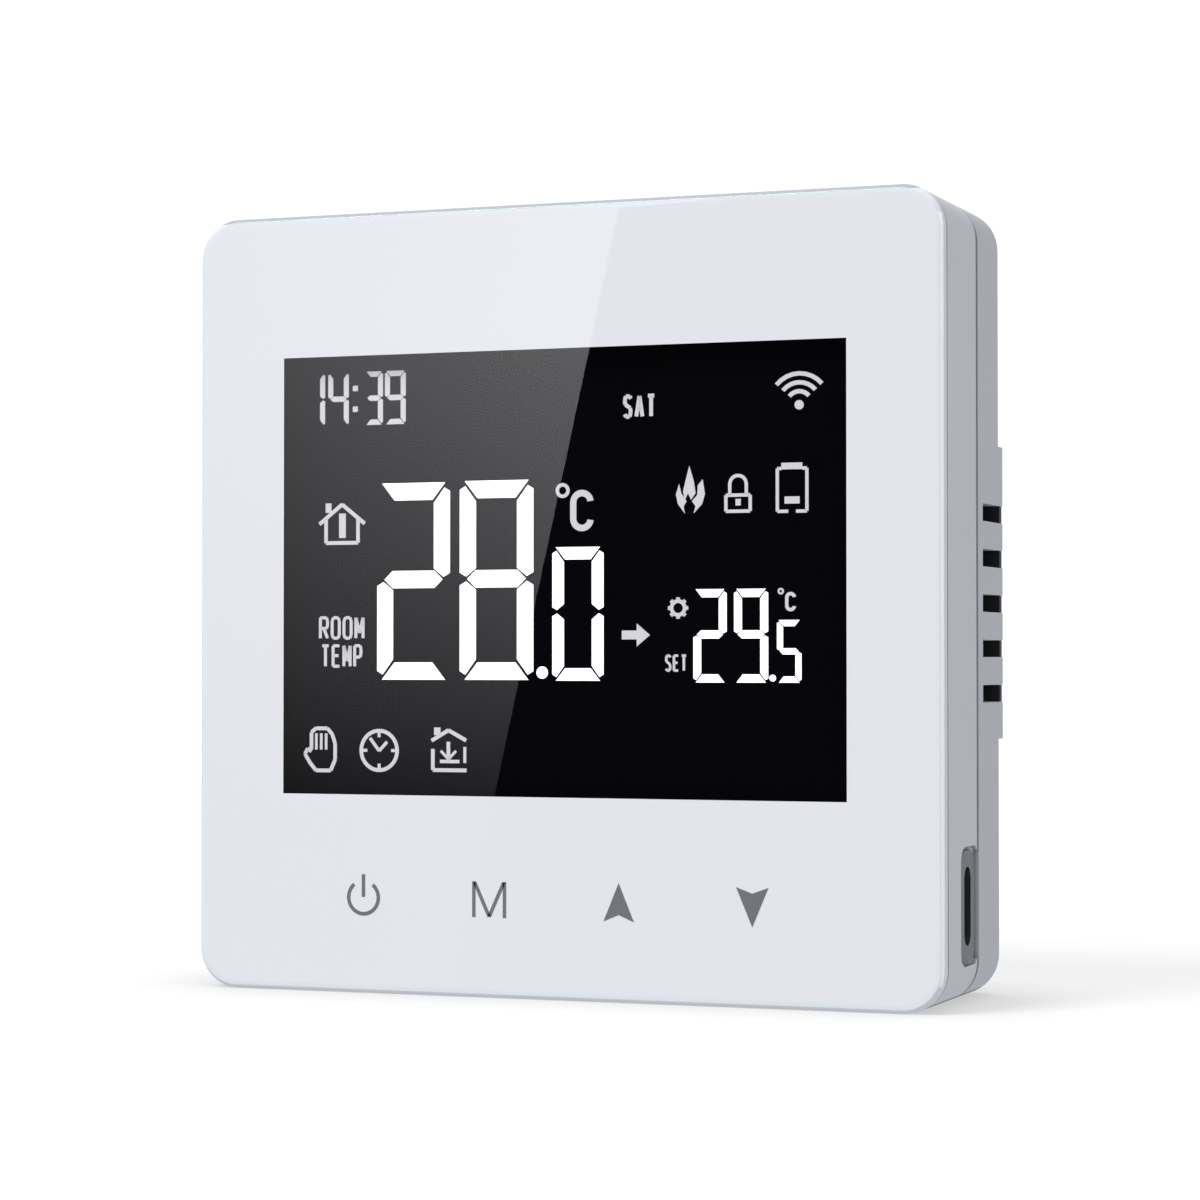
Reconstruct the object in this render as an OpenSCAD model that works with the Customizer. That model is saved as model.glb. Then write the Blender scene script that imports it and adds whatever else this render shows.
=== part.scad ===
// Wall thermostat with a touch glass front, a pull-off front unit and a wall base.
// Everything is drawn lying on its back: X to the right, Y up the wall, Z out of the wall.
// stand() then turns it upright, so the wall is at Y = 0 and the front looks along -Y.

/* [Case] */
// Width of the case
case_w = 86; // [84:1:92]
// Height of the case
case_h = 86; // [84:1:92]
// Depth of the case from the wall to the front of the glass
case_d = 25; // [25:0.5:27]
// Radius of the four upright corners
corner_r = 4.5; // [4:0.5:6]
// Rounding of the rear edge
rear_edge_r = 2.2; // [1:0.2:2.4]
// Thickness of the rear wall
rear_wall = 1.6; // [1.4:0.1:1.8]
// Height of the parting line above the wall
parting_z = 11.1; // [11:0.1:11.2]
// Width of the shadow gap at the parting line
parting_gap = 0.8; // [0.3:0.1:0.8]

/* [Front glass] */
// Thickness of the glass
glass_t = 1.5; // [1.1:0.1:1.6]
// Bevel round the front of the glass
glass_bevel = 0.4; // [0.3:0.1:0.8]
// Width of the display window
window_w = 65.2; // [60:0.2:66]
// Height of the display window
window_h = 48.4; // [44:0.2:49]
// Height of the window's centre above the middle of the case
window_y = 3; // [2:0.5:4]

/* [Touch keys] */
// Distance between neighbouring keys
key_pitch = 15; // [14:0.5:16]
// Height of the key row
key_y = -32.4; // [-33:0.1:-32]

/* [Side vents] */
// Number of vent slots on each side
vent_count = 5; // [3:1:7]
// Distance between neighbouring slots
vent_pitch = 4.9; // [4:0.1:5]
// Height of the middle slot above the middle of the case
vent_mid = -0.25; // [-1:0.05:1]
// Height of one slot
vent_h = 1.9; // [1.5:0.1:2.5]
// How far the slots reach forward from the wall
vent_z = 8.7; // [6:0.1:9]

/* [Charging socket] */
// Height of the socket's centre along the side
usb_y = -32.4; // [-33:0.1:-32]
// Distance of the socket's centre from the wall
usb_z = 14.95; // [14.9:0.05:15]

/* [Wall fixing] */
// Distance between the two wall screws
wall_screw_pitch = 60; // [58:1:62]
// Width of each wall screw slot
wall_slot_w = 4.2; // [3.6:0.2:4.6]
// Length of each wall screw slot from end to end
wall_slot_l = 8; // [6:0.5:9]
// Width of the cable entry
entry_w = 28; // [22:1:30]
// Height of the cable entry
entry_h = 16; // [12:1:16]

/* [Hidden] */
$fn = 48;
fit_gap = 0.05; // radial clearance of screws and pins in their holes
front_wall = 2; // side wall of the front housing
tongue_out = 1.3; // the tongue's distance in from the outer face
tongue_t = 1; // thickness of the tongue
tongue_gap = 0.3; // clearance between tongue and front housing
tongue_h = 1.95; // height of the tongue above the rear cover's rim
base_wall = tongue_out + tongue_t; // side wall of the rear cover
rebate_wall = tongue_out - tongue_gap; // front housing's wall outside the tongue
vent_pad = [-15, 17]; // stretch of each side that is straight down to the wall
vent_reach = 3; // how far the slots reach in from the outer face
housing_w = case_w - 2 * front_wall;
housing_h = case_h - 2 * front_wall;

// Layers from the glass down
glass_z = case_d - glass_t;
print_t = 0.1;
print_z = glass_z - print_t;
tape_t = 0.2;
plate_z1 = print_z - tape_t; // front of the housing's plate
plate_t = 1.5;
plate_z0 = plate_z1 - plate_t;
board_t = 1.2;
usb_half = 1.65; // half of the socket's thickness with its gap to the board
usb_face = case_w / 2 - 0.15; // mouth of the socket
board_z0 = usb_z + usb_half; // back of the main board
board_z1 = board_z0 + board_t; // front of the main board
film_t = 0.2; // polariser, diffuser and reflector films
lcd_z1 = plate_z1 - film_t;
lcd_t = 1.8;
lcd_z0 = lcd_z1 - lcd_t;
guide_z0 = board_z1 + film_t;
guide_z1 = lcd_z0 - film_t;

// Display module
lcd_w = 70;
lcd_h = 54;
lcd_y = window_y - 0.6;
guide_w = 66;
guide_h = 50;
frame_gap = 0.1;
frame_t = 1.2;
frame_w = lcd_w + 2 * (frame_gap + frame_t);
frame_h = lcd_h + 2 * (frame_gap + frame_t);
pin_count = 24;
pin_pitch = 2;
pin_row_y = lcd_y - lcd_h / 2 + 0.6;

// Main board
board_w = case_w - 7;
key_x = [for (i = [-1.5:1:1.5]) i * key_pitch];
board_screws = [[-36, 36], [36, 36], [-31, -37], [31, -37]];
board_boss_r = 2.4;
screw_r = 0.8;
screw_head_r = 1.9;
screw_head_t = 1.4;
board_screw_hole_r = screw_r + 0.3;

radio_at = [20, 20];
radio_board_t = 0.8;

// Plug-in link between the two halves
link_y = -29;
link_count = 5;
link_pitch = 2.54;
link_pin = 0.64;
link_hole_r = 0.5;
link_x = [for (i = [0:link_count - 1]) (i - (link_count - 1) / 2) * link_pitch];
link_w = link_count * link_pitch;

// Relay board in the base
relay_board_z0 = 4;
relay_board_z1 = relay_board_z0 + board_t;
relay_board_w = 73;
relay_board_y0 = -38;
relay_board_y1 = -12.4;
relay_screws = [[-33.5, -35.5], [33.5, -35.5], [-33.5, -15], [33.5, -15]];
relay_x = -19;
relay_y = -19;
relay_size = [20, 10, 10];
relay_pin_x = [-8, 2, 8];
relay_pin_dy = 3.6;
pin_tail = 1.2; // length of the pins past the back of the relay board

// Terminals, counted from the left
terminal_count = 3;
terminal_pitch = 5.08;
terminal_x = [for (i = [0:terminal_count - 1]) (i - (terminal_count - 1) / 2) * terminal_pitch];
block_y0 = -22;
block_y1 = -13.5;
block_h = 9.5;
block_end = 0.4; // extra width at each end of the block
cage_size = [3.8, 5.5, 5];
cage_y = -17.5; // middle of each cage, and the screw's axis
cage_z = relay_board_z1 + 0.5; // underside of a cage when its terminal is open
cage_lift = 1.5; // travel of a cage
cage_room = 0.2; // clearance round a cage
cage_window = [2.6, 2.6];
cage_floor = 0.9;
clamp_screw_r = 1.45;
clamp_head_r = 1.8;
clamp_head_t = 1.2;
ledge_z = cage_z + cage_size[2] + cage_lift + cage_room;
ledge_t = 0.7;
contact_z = cage_z + cage_floor + cage_lift + cage_room;
contact_t = 0.4;
contact_y0 = -21.2; // back of the contacts
contact_y1 = -15; // front of the contacts

// Battery bay
cell_r = 5.25;
cell_body_l = 43.5;
nub_r = 1.9;
nub_l = 1;
cell_l = cell_body_l + nub_l;
cell_y = [17, 29.2];
cell_z = rear_wall + 0.25 + cell_r;
bay_x = 25; // inside face of each contact plate
contact_plate_t = 0.4;
bay_wall_t = 1.2;
bay_y0 = cell_y[0] - cell_r - 0.35;
bay_y1 = cell_y[1] + cell_r + 0.35;

// Helix swept by a polygonal wire, from the bottom turn to the top one
wire_sides = 6;
turn_steps = 12;
function helix_ring(t, r0, r1, h, turns, wire) =
    let (a = t * turns * 360, r = r0 + (r1 - r0) * t)
    [for (k = [0:wire_sides - 1])
        let (b = k * 360 / wire_sides, q = r + wire * cos(b))
        [q * cos(a), q * sin(a), wire + (h - 2 * wire) * t + wire * sin(b)]];

module coil_spring(r0, r1, h, turns, wire) {
    steps = ceil(turns * turn_steps);
    points = [for (i = [0:steps]) each helix_ring(i / steps, r0, r1, h, turns, wire)];
    sides = [for (i = [0:steps - 1], k = [0:wire_sides - 1])
        let (a = i * wire_sides + k, b = i * wire_sides + (k + 1) % wire_sides)
        [a, a + wire_sides, b + wire_sides, b]];
    first = [for (k = [0:wire_sides - 1]) k];
    last = [for (k = [wire_sides - 1:-1:0]) steps * wire_sides + k];
    polyhedron(points, concat(sides, [first, last]));
}

module stand() {
    rotate([90, 0, 0]) children();
}

module rounded_rect(w, h, r) {
    square([w - 2 * r, h], center = true);
    square([w, h - 2 * r], center = true);
    for (sx = [-1, 1], sy = [-1, 1])
        translate([sx * (w / 2 - r), sy * (h / 2 - r)]) circle(r);
}

module rounded_slab(w, h, r, z0, z1) {
    translate([0, 0, z0]) linear_extrude(z1 - z0) rounded_rect(w, h, r);
}

// Sweeps a half profile round a rectangle with round corners. The profile is drawn in the XY
// plane from x = 0 at the corner's centre to x = r at the outer face, with y as the height.
module swept_rim(w, h, r) {
    for (sx = [0, 1], sy = [0, 1])
        mirror([sx, 0, 0]) mirror([0, sy, 0]) translate([w / 2 - r, h / 2 - r, 0])
            rotate_extrude(angle = 90) children();
    for (s = [0, 1]) mirror([s, 0, 0]) {
        translate([w / 2 - r, h / 2 - r, 0]) rotate([90, 0, 0]) linear_extrude(h - 2 * r) children();
    }
    for (s = [0, 1]) mirror([0, s, 0]) {
        translate([-(w / 2 - r), h / 2 - r, 0]) rotate([90, 0, 90]) linear_extrude(w - 2 * r) children();
    }
}

module block(x0, x1, y0, y1, z0, z1) {
    translate([x0, y0, z0]) cube([x1 - x0, y1 - y0, z1 - z0]);
}

module post(at, r, z0, z1) {
    translate([at[0], at[1], z0]) cylinder(r = r, h = z1 - z0);
}

// A round-ended slot through the X direction
module side_slot(y, z, l, t, x0, x1) {
    translate([x0, y, z]) rotate([90, 0, 90]) linear_extrude(x1 - x0) {
        square([l - t, t], center = true);
        for (s = [-1, 1]) translate([s * (l - t) / 2, 0]) circle(t / 2);
    }
}

// A block with rounded corners through the X direction
module side_port(y, z, l, t, r, x0, x1) {
    translate([x0, y, z]) rotate([90, 0, 90]) linear_extrude(x1 - x0) rounded_rect(l, t, r);
}

// Cross-head screw standing on its head at z, with its shaft towards direction d
module pan_screw(at, z, shaft, d) {
    slot = 0.4;
    slot_l = 2.4;
    depth = 0.7;
    translate([at[0], at[1], z]) mirror([0, 0, d > 0 ? 0 : 1]) difference() {
        union() {
            translate([0, 0, -screw_head_t]) cylinder(r = screw_head_r, h = screw_head_t);
            cylinder(r = screw_r, h = shaft);
        }
        for (a = [0, 90]) rotate([0, 0, a])
            translate([-slot_l / 2, -slot / 2, -screw_head_t - 1]) cube([slot_l, slot, depth + 1]);
    }
}

// ---- Front unit ----

module front_glass() {
    half = case_w / 2 - corner_r;
    color("white", 0.35) stand() {
        swept_rim(case_w, case_h, corner_r)
            translate([0, glass_z]) polygon([
                [0, 0], [corner_r, 0], [corner_r, glass_t - glass_bevel],
                [corner_r - glass_bevel, glass_t], [0, glass_t]]);
        block(-half, half, -(case_h / 2 - corner_r), case_h / 2 - corner_r, glass_z, case_d);
    }
}

module glass_print() {
    inset = 0.5;
    color("white") stand() difference() {
        rounded_slab(case_w - 2 * inset, case_h - 2 * inset, corner_r - inset, print_z, glass_z);
        translate([0, window_y, 0])
            block(-window_w / 2, window_w / 2, -window_h / 2, window_h / 2, print_z - 1, glass_z + 1);
    }
}

module glass_tape() {
    inset = 1;
    display_gap = 0.8;
    key_hole_r = 4;
    color("gainsboro") stand() difference() {
        rounded_slab(case_w - 2 * inset, case_h - 2 * inset, corner_r - inset, plate_z1, print_z);
        translate([0, lcd_y, 0])
            block(-frame_w / 2 - display_gap, frame_w / 2 + display_gap,
                -frame_h / 2 - display_gap, frame_h / 2 + display_gap, plate_z1 - 1, print_z + 1);
        for (x = key_x) post([x, key_y], key_hole_r, plate_z1 - 1, print_z + 1);
    }
}

module front_housing() {
    window_gap = 0.2;
    spring_hole_r = 3;
    recess_l = 12.6;
    recess_t = 7.2;
    recess_r = 1.8;
    recess_depth = 0.45;
    mouth_l = 9.2;
    mouth_t = 3.5;
    notch_l = 8;
    notch_depth = 1.2;
    shoulder_z = parting_z + 2;
    color("gainsboro") stand() difference() {
        union() {
            difference() {
                rounded_slab(case_w, case_h, corner_r, parting_z + parting_gap / 2, plate_z1);
                rounded_slab(housing_w, housing_h, corner_r - front_wall, parting_z - 1, plate_z0);
            }
            for (p = board_screws) post(p, board_boss_r, board_z1, plate_z0 + 0.1);
        }
        // rebate for the base's tongue
        rounded_slab(case_w - 2 * rebate_wall, case_h - 2 * rebate_wall, corner_r - rebate_wall,
            parting_z - 1, shoulder_z);
        translate([0, lcd_y, 0])
            block(-frame_w / 2 - window_gap, frame_w / 2 + window_gap,
                -frame_h / 2 - window_gap, frame_h / 2 + window_gap, plate_z0 - 1, case_d);
        for (x = key_x) post([x, key_y], spring_hole_r, plate_z0 - 1, case_d);
        for (p = board_screws) post(p, screw_r + fit_gap, board_z1 - 1, plate_z0 - 0.4);
        // charging socket: shallow recess, then the socket's mouth
        side_port(usb_y, usb_z - 0.4, recess_l, recess_t, recess_r, case_w / 2 - recess_depth, case_w);
        side_slot(usb_y, usb_z, mouth_l, mouth_t, housing_w / 2 - 1, case_w);
        // notch for the flat tool that eases the front unit off
        block(-notch_l / 2, notch_l / 2, -case_h / 2 - 1, -case_h / 2 + notch_depth,
            parting_z - 1, parting_z + 1);
    }
}

module lcd_polariser() {
    margin = 1.5;
    color("black") stand()
        translate([0, window_y, 0])
            block(-window_w / 2 - margin, window_w / 2 + margin, -window_h / 2 - margin,
                window_h / 2 + margin, lcd_z1, lcd_z1 + film_t);
}

module lcd_glass() {
    color("dimgray") stand()
        translate([0, lcd_y, 0])
            block(-lcd_w / 2, lcd_w / 2, -lcd_h / 2, lcd_h / 2, lcd_z0, lcd_z1);
}

module light_layer(z0, z1) {
    stand() translate([0, window_y, 0])
        block(-guide_w / 2, guide_w / 2, -guide_h / 2, guide_h / 2, z0, z1);
}

module diffuser_sheet() {
    color("white") light_layer(guide_z1, lcd_z0);
}

module light_guide() {
    color("azure") light_layer(guide_z0, guide_z1);
}

module reflector_sheet() {
    color("silver") light_layer(board_z1, guide_z0);
}

module lcd_frame() {
    color("black") stand() translate([0, lcd_y, 0]) difference() {
        block(-frame_w / 2, frame_w / 2, -frame_h / 2, frame_h / 2, board_z1, lcd_z1);
        block(-frame_w / 2 + frame_t, frame_w / 2 - frame_t, -frame_h / 2 + frame_t,
            frame_h / 2 - frame_t, board_z1 - 1, lcd_z1 + 1);
    }
}

module backlight_leds() {
    led = [1.2, 3, 1.5];
    led_gap = 0.2;
    led_pitch = 10;
    color("lemonchiffon") stand()
        for (i = [-1.5:1:1.5])
            translate([-guide_w / 2 - led_gap - led[0], window_y + i * led_pitch - led[1] / 2, board_z1])
                cube(led);
}

function pin_x(i) = (i - (pin_count - 1) / 2) * pin_pitch;

module lcd_pins() {
    side = 0.5;
    tail = 0.8; // length past the back of the board
    color("silver") stand()
        for (i = [0:pin_count - 1])
            translate([pin_x(i) - side / 2, pin_row_y - side / 2, board_z0 - tail])
                cube([side, side, lcd_z0 - board_z0 + tail]);
}

module touch_springs() {
    foot_r = 2.2;
    top_r = 1.8;
    turns = 3.5;
    wire_r = 0.25;
    color("gold") stand()
        for (x = key_x) translate([x, key_y, board_z1])
            coil_spring(foot_r, top_r, print_z - board_z1, turns, wire_r);
}

module main_board() {
    display_hole_r = 0.42;
    color("seagreen") stand() difference() {
        rounded_slab(board_w, board_w, 2, board_z0, board_z1);
        for (p = board_screws) post(p, board_screw_hole_r, board_z0 - 1, board_z1 + 1);
        for (i = [0:pin_count - 1])
            post([pin_x(i), pin_row_y], display_hole_r, board_z0 - 1, board_z1 + 1);
        for (x = link_x) post([x, link_y], link_hole_r, board_z0 - 1, board_z1 + 1);
    }
}

module main_board_screws() {
    color("silver") stand()
        for (p = board_screws) pan_screw(p, board_z0, 4.5, 1);
}

module controller_chip() {
    side = 10;
    lead_count = 12;
    lead_pitch = 0.8;
    lead = [1.1, 0.3, 0.35];
    at = [-8, 8, 0];
    color("dimgray") stand() translate(at) {
        block(-side / 2, side / 2, -side / 2, side / 2, board_z0 - 1.5, board_z0 - 0.1);
        for (a = [0:90:270], i = [0:lead_count - 1]) rotate([0, 0, a])
            translate([side / 2 - 0.1, (i - (lead_count - 1) / 2) * lead_pitch - lead[1] / 2,
                board_z0 - lead[2]])
                cube(lead);
    }
}

module radio_board() {
    color("darkgreen") stand() translate([radio_at[0], radio_at[1], board_z0 - radio_board_t])
        linear_extrude(radio_board_t) square([18, 25.5], center = true);
}

module radio_shield() {
    size = [15, 17];
    wall = 0.3;
    height = 2.3;
    below = 3; // the shield's centre lies this far below the radio board's
    color("silver") stand() translate([radio_at[0], radio_at[1] - below, board_z0 - radio_board_t - height])
        difference() {
            linear_extrude(height) square(size, center = true);
            translate([0, 0, wall])
                linear_extrude(height) square([size[0] - 2 * wall, size[1] - 2 * wall], center = true);
        }
}

module buzzer() {
    at = [-28, 22];
    height = 3;
    color("black") stand() difference() {
        post(at, 4.75, board_z0 - height, board_z0);
        post(at, 0.8, board_z0 - height - 1, board_z0 - height / 2);
    }
}

module clock_crystal() {
    at = [-8, -5];
    height = 3;
    color("silver") stand() translate([at[0], at[1], board_z0 - height])
        linear_extrude(height) rounded_rect(11, 4.6, 2.2);
}

module power_coil() {
    at = [22, -20];
    side = 7;
    flange_t = 0.6;
    height = 3;
    core_r = 3;
    color("gray") stand() {
        translate([at[0] - side / 2, at[1] - side / 2, board_z0 - flange_t]) cube([side, side, flange_t]);
        post(at, core_r, board_z0 - height, board_z0 - flange_t);
    }
}

module chip_parts() {
    part = [1.6, 0.8, 0.7];
    first = [6, -4];
    step = [2.6, 2.2];
    group_step = 10;
    color("tan") stand()
        for (i = [0:3], k = [0, 1], j = [0, 1])
            translate([first[0] + step[0] * i, first[1] - step[1] * k - group_step * j, board_z0 - part[2]])
                cube(part);
}

module temperature_probe() {
    at = [38.2, 3];
    bead_r = 1.2;
    bead_z = 8.5;
    lead_r = 0.22;
    lead_half_gap = 0.6;
    color("black") stand() {
        translate([at[0], at[1], bead_z]) sphere(bead_r);
        for (s = [-1, 1]) post([at[0], at[1] + s * lead_half_gap], lead_r, bead_z, board_z0);
    }
}

module usb_shell() {
    l = 8.94;
    t = 3.26;
    wall = 0.3;
    depth = 7.1;
    flange_l = 11.8;
    flange_t = 5.4;
    flange_r = 1.5;
    flange_h = 0.25;
    x0 = usb_face - depth;
    color("silver") stand() difference() {
        union() {
            side_slot(usb_y, usb_z, l, t, x0, usb_face);
            side_port(usb_y, usb_z, flange_l, flange_t, flange_r, usb_face - flange_h, usb_face);
        }
        side_slot(usb_y, usb_z, l - 2 * wall, t - 2 * wall, x0 + wall, usb_face + 1);
    }
}

module usb_tongue() {
    x0 = usb_face - 6.7;
    root_t = 1.4;
    tongue = [4.5, 6.6, 0.7];
    color("black") stand() {
        side_slot(usb_y, usb_z, 8.2, 2.5, x0, x0 + root_t);
        translate([x0 + root_t - 0.1, usb_y - tongue[1] / 2, usb_z - tongue[2] / 2]) cube(tongue);
    }
}

module usb_contacts() {
    strip_count = 6;
    strip_pitch = 1;
    strip = [4, 0.3, 0.05];
    strip_z = 0.375; // from the tongue's middle to the middle of a strip
    x0 = usb_face - 5.3;
    color("gold") stand()
        for (s = [-1, 1], i = [0:strip_count - 1])
            translate([x0, usb_y + (i - (strip_count - 1) / 2) * strip_pitch - strip[1] / 2,
                usb_z + s * strip_z - strip[2] / 2]) cube(strip);
}

module link_header() {
    side = link_pin + 2 * fit_gap;
    body = 2.5;
    color("black") stand() difference() {
        block(-link_w / 2, link_w / 2, link_y - body / 2, link_y + body / 2, board_z0 - body, board_z0);
        for (x = link_x)
            block(x - side / 2, x + side / 2, link_y - side / 2, link_y + side / 2, 0, board_z0 + 1);
    }
}

module link_pins() {
    reach = 8.3; // length behind the board
    tail = 0.8; // length past its front
    color("gold") stand()
        for (x = link_x)
            block(x - link_pin / 2, x + link_pin / 2, link_y - link_pin / 2, link_y + link_pin / 2,
                board_z0 - reach, board_z1 + tail);
}

// ---- Base ----

// Outline of the side wall from the wall plane up, with its rounded rear edge
module cover_profile(top) {
    difference() {
        square([corner_r, top]);
        difference() {
            translate([corner_r - rear_edge_r, -1]) square([rear_edge_r + 1, rear_edge_r + 1]);
            translate([corner_r - rear_edge_r, rear_edge_r]) circle(rear_edge_r);
        }
    }
}

module cover_body() {
    top = parting_z - parting_gap / 2;
    half_w = case_w / 2 - corner_r;
    half_h = case_h / 2 - corner_r;
    difference() {
        union() {
            swept_rim(case_w, case_h, corner_r) cover_profile(top);
            block(-half_w, half_w, -half_h, half_h, 0, top);
            // straight walls where the vents are
            for (s = [0, 1]) mirror([s, 0, 0])
                block(half_w, case_w / 2, vent_pad[0], vent_pad[1], 0, rear_edge_r + 1);
            rounded_slab(case_w - 2 * tongue_out, case_h - 2 * tongue_out, corner_r - tongue_out,
                top - 1, top + tongue_h);
        }
        rounded_slab(case_w - 2 * base_wall, case_h - 2 * base_wall, corner_r - base_wall, rear_wall, case_d);
    }
}

function vent_y(i) = vent_mid + (i - (vent_count - 1) / 2) * vent_pitch;

module vent_slots() {
    for (s = [0, 1], i = [0:vent_count - 1]) mirror([s, 0, 0])
        block(case_w / 2 - vent_reach, case_w / 2 + 1, vent_y(i) - vent_h / 2, vent_y(i) + vent_h / 2,
            -1, vent_z);
}

// Louvres pushed into the slots from behind; they hide the inside and leave the top open for air
module vent_louvres() {
    half = vent_h / 2 - 0.02;
    back = 0.05;
    foot_t = 1;
    blade_t = 0.8;
    blade_top = 5;
    x0 = case_w / 2 - vent_reach + 0.2;
    color("black") stand()
        for (s = [0, 1], i = [0:vent_count - 1]) mirror([s, 0, 0]) {
            block(x0, case_w / 2 - 0.1, vent_y(i) - half, vent_y(i) + half, back, foot_t);
            block(x0, x0 + blade_t, vent_y(i) - half, vent_y(i) + half, back, blade_top);
        }
}

module battery_bay() {
    wall_top = 8;
    end_top = 10;
    rib_x = 12;
    rib_t = 1.5;
    rib_h = 2.6;
    cell_room = 0.15;
    x_in = bay_x + contact_plate_t + 0.1;
    for (s = [0, 1]) mirror([s, 0, 0]) {
        block(x_in, x_in + bay_wall_t, bay_y0 - bay_wall_t, bay_y1 + bay_wall_t, rear_wall - 0.1, end_top);
        difference() {
            block(rib_x, rib_x + rib_t, bay_y0, bay_y1, rear_wall - 0.1, rear_wall + rib_h);
            for (y = cell_y) translate([0, y, cell_z]) rotate([0, 90, 0])
                cylinder(r = cell_r + cell_room, h = rib_x + 2 * rib_t);
        }
    }
    for (y = [bay_y0 - bay_wall_t, bay_y1])
        block(-x_in - bay_wall_t, x_in + bay_wall_t, y, y + bay_wall_t, rear_wall - 0.1, wall_top);
}

module rear_cover() {
    pad = [14, 10, 0.8]; // thickening round each wall screw slot
    boss_r = 2.6;
    bead_l = 28;
    bead_w = 0.6;
    bead_h = 0.2;
    bead_z = parting_z + 0.6;
    slot_travel = (wall_slot_l - wall_slot_w) / 2;
    color("gainsboro") stand() difference() {
        union() {
            cover_body();
            battery_bay();
            for (p = relay_screws) post(p, boss_r, rear_wall - 0.1, relay_board_z0);
            for (s = [-1, 1]) translate([s * wall_screw_pitch / 2, 0, 0])
                block(-pad[0] / 2, pad[0] / 2, -pad[1] / 2, pad[1] / 2,
                    rear_wall - 0.1, rear_wall + pad[2]);
            // beads that hold the front unit on
            for (s = [0, 1]) mirror([0, s, 0])
                block(-bead_l / 2, bead_l / 2, case_h / 2 - tongue_out - 0.1,
                    case_h / 2 - tongue_out + bead_h, bead_z, bead_z + bead_w);
        }
        vent_slots();
        for (p = relay_screws) post(p, screw_r + fit_gap, rear_wall - 0.4, relay_board_z0 + 1);
        for (s = [-1, 1], t = [-1, 1])
            post([s * wall_screw_pitch / 2 + t * slot_travel, 0], wall_slot_w / 2, -1, rear_wall + 2);
        for (s = [-1, 1])
            translate([s * wall_screw_pitch / 2, 0, 0])
                block(-slot_travel, slot_travel, -wall_slot_w / 2, wall_slot_w / 2, -1, rear_wall + 2);
        rounded_slab(entry_w, entry_h, 2, -1, rear_wall + 1);
    }
}

module relay_board() {
    tail_slot = 1.2;
    relay_hole_r = 0.6;
    color("seagreen") stand() difference() {
        block(-relay_board_w / 2, relay_board_w / 2, relay_board_y0, relay_board_y1,
            relay_board_z0, relay_board_z1);
        for (p = relay_screws) post(p, board_screw_hole_r, 0, relay_board_z1 + 1);
        for (x = terminal_x)
            block(x - tail_slot / 2, x + tail_slot / 2, contact_y0 - 0.2, contact_y0 + tail_slot / 2,
                0, relay_board_z1 + 1);
        for (x = relay_pin_x, s = [-1, 1])
            post([relay_x + x, relay_y + s * relay_pin_dy], relay_hole_r, 0, relay_board_z1 + 1);
        for (x = link_x) post([x, link_y], link_hole_r, 0, relay_board_z1 + 1);
    }
}

module relay_board_screws() {
    color("silver") stand()
        for (p = relay_screws) pan_screw(p, relay_board_z1, 3.2, -1);
}

module relay_case() {
    color("black") stand() translate([relay_x, relay_y, relay_board_z1])
        linear_extrude(relay_size[2]) rounded_rect(relay_size[0], relay_size[1], 0.6);
}

module relay_pins() {
    pin_r = 0.4;
    color("silver") stand()
        for (x = relay_pin_x, s = [-1, 1])
            post([relay_x + x, relay_y + s * relay_pin_dy], pin_r, relay_board_z0 - pin_tail, relay_board_z1);
}

module supply_capacitor() {
    at = [16, -19, relay_board_z1];
    r = 4;
    height = 8;
    groove_z = 1.4;
    groove_r = 0.4;
    color("darkslateblue") stand() translate(at) difference() {
        cylinder(r = r, h = height);
        translate([0, 0, groove_z]) rotate_extrude() translate([r, 0]) circle(groove_r);
    }
}

module driver_parts() {
    transistor = [2.9, 1.4, 1.1];
    diode = [4.3, 2.6, 2];
    resistor = [1.6, 0.8, 0.6];
    resistor_pitch = 3;
    color("dimgray") stand() translate([0, 0, relay_board_z1]) {
        translate([24, -20, 0]) cube(transistor);
        translate([24, -24.6, 0]) cube(diode);
        for (i = [0:2]) translate([14 + resistor_pitch * i, -28, 0]) cube(resistor);
    }
}

module link_socket() {
    body = [link_w + 0.2, 2.6, 8.7];
    hole = 1;
    floor_t = 1.2;
    color("black") stand() difference() {
        translate([-body[0] / 2, link_y - body[1] / 2, relay_board_z1]) cube(body);
        for (x = link_x)
            block(x - hole / 2, x + hole / 2, link_y - hole / 2, link_y + hole / 2,
                relay_board_z1 + floor_t, relay_board_z1 + body[2] + 1);
    }
}

module terminal_block() {
    half = terminal_count * terminal_pitch / 2 + block_end;
    top = relay_board_z1 + block_h;
    room_x = cage_size[0] / 2 + cage_room;
    mouth = [3, 3.4];
    mouth_z = relay_board_z1 + 1.1;
    floor_t = 0.4;
    tail_w = 1.2;
    screw_room = 0.15;
    color("seagreen") stand() difference() {
        block(-half, half, block_y0, block_y1, relay_board_z1, top);
        for (x = terminal_x) translate([x, 0, 0]) {
            // room for the cage and the contact behind it
            block(-room_x, room_x, contact_y0 - 0.1, contact_y1 + 0.7, relay_board_z1 + floor_t, ledge_z);
            block(-tail_w / 2, tail_w / 2, contact_y0 - 0.1, contact_y0 + 0.5,
                relay_board_z1 - 1, relay_board_z1 + 1);
            block(-mouth[0] / 2, mouth[0] / 2, contact_y1, block_y1 + 1, mouth_z, mouth_z + mouth[1]);
            post([0, cage_y], clamp_screw_r + screw_room, ledge_z - 1, top + 1);
            post([0, cage_y], clamp_head_r + 2 * fit_gap, ledge_z + ledge_t, top + 1);
        }
    }
}

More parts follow.
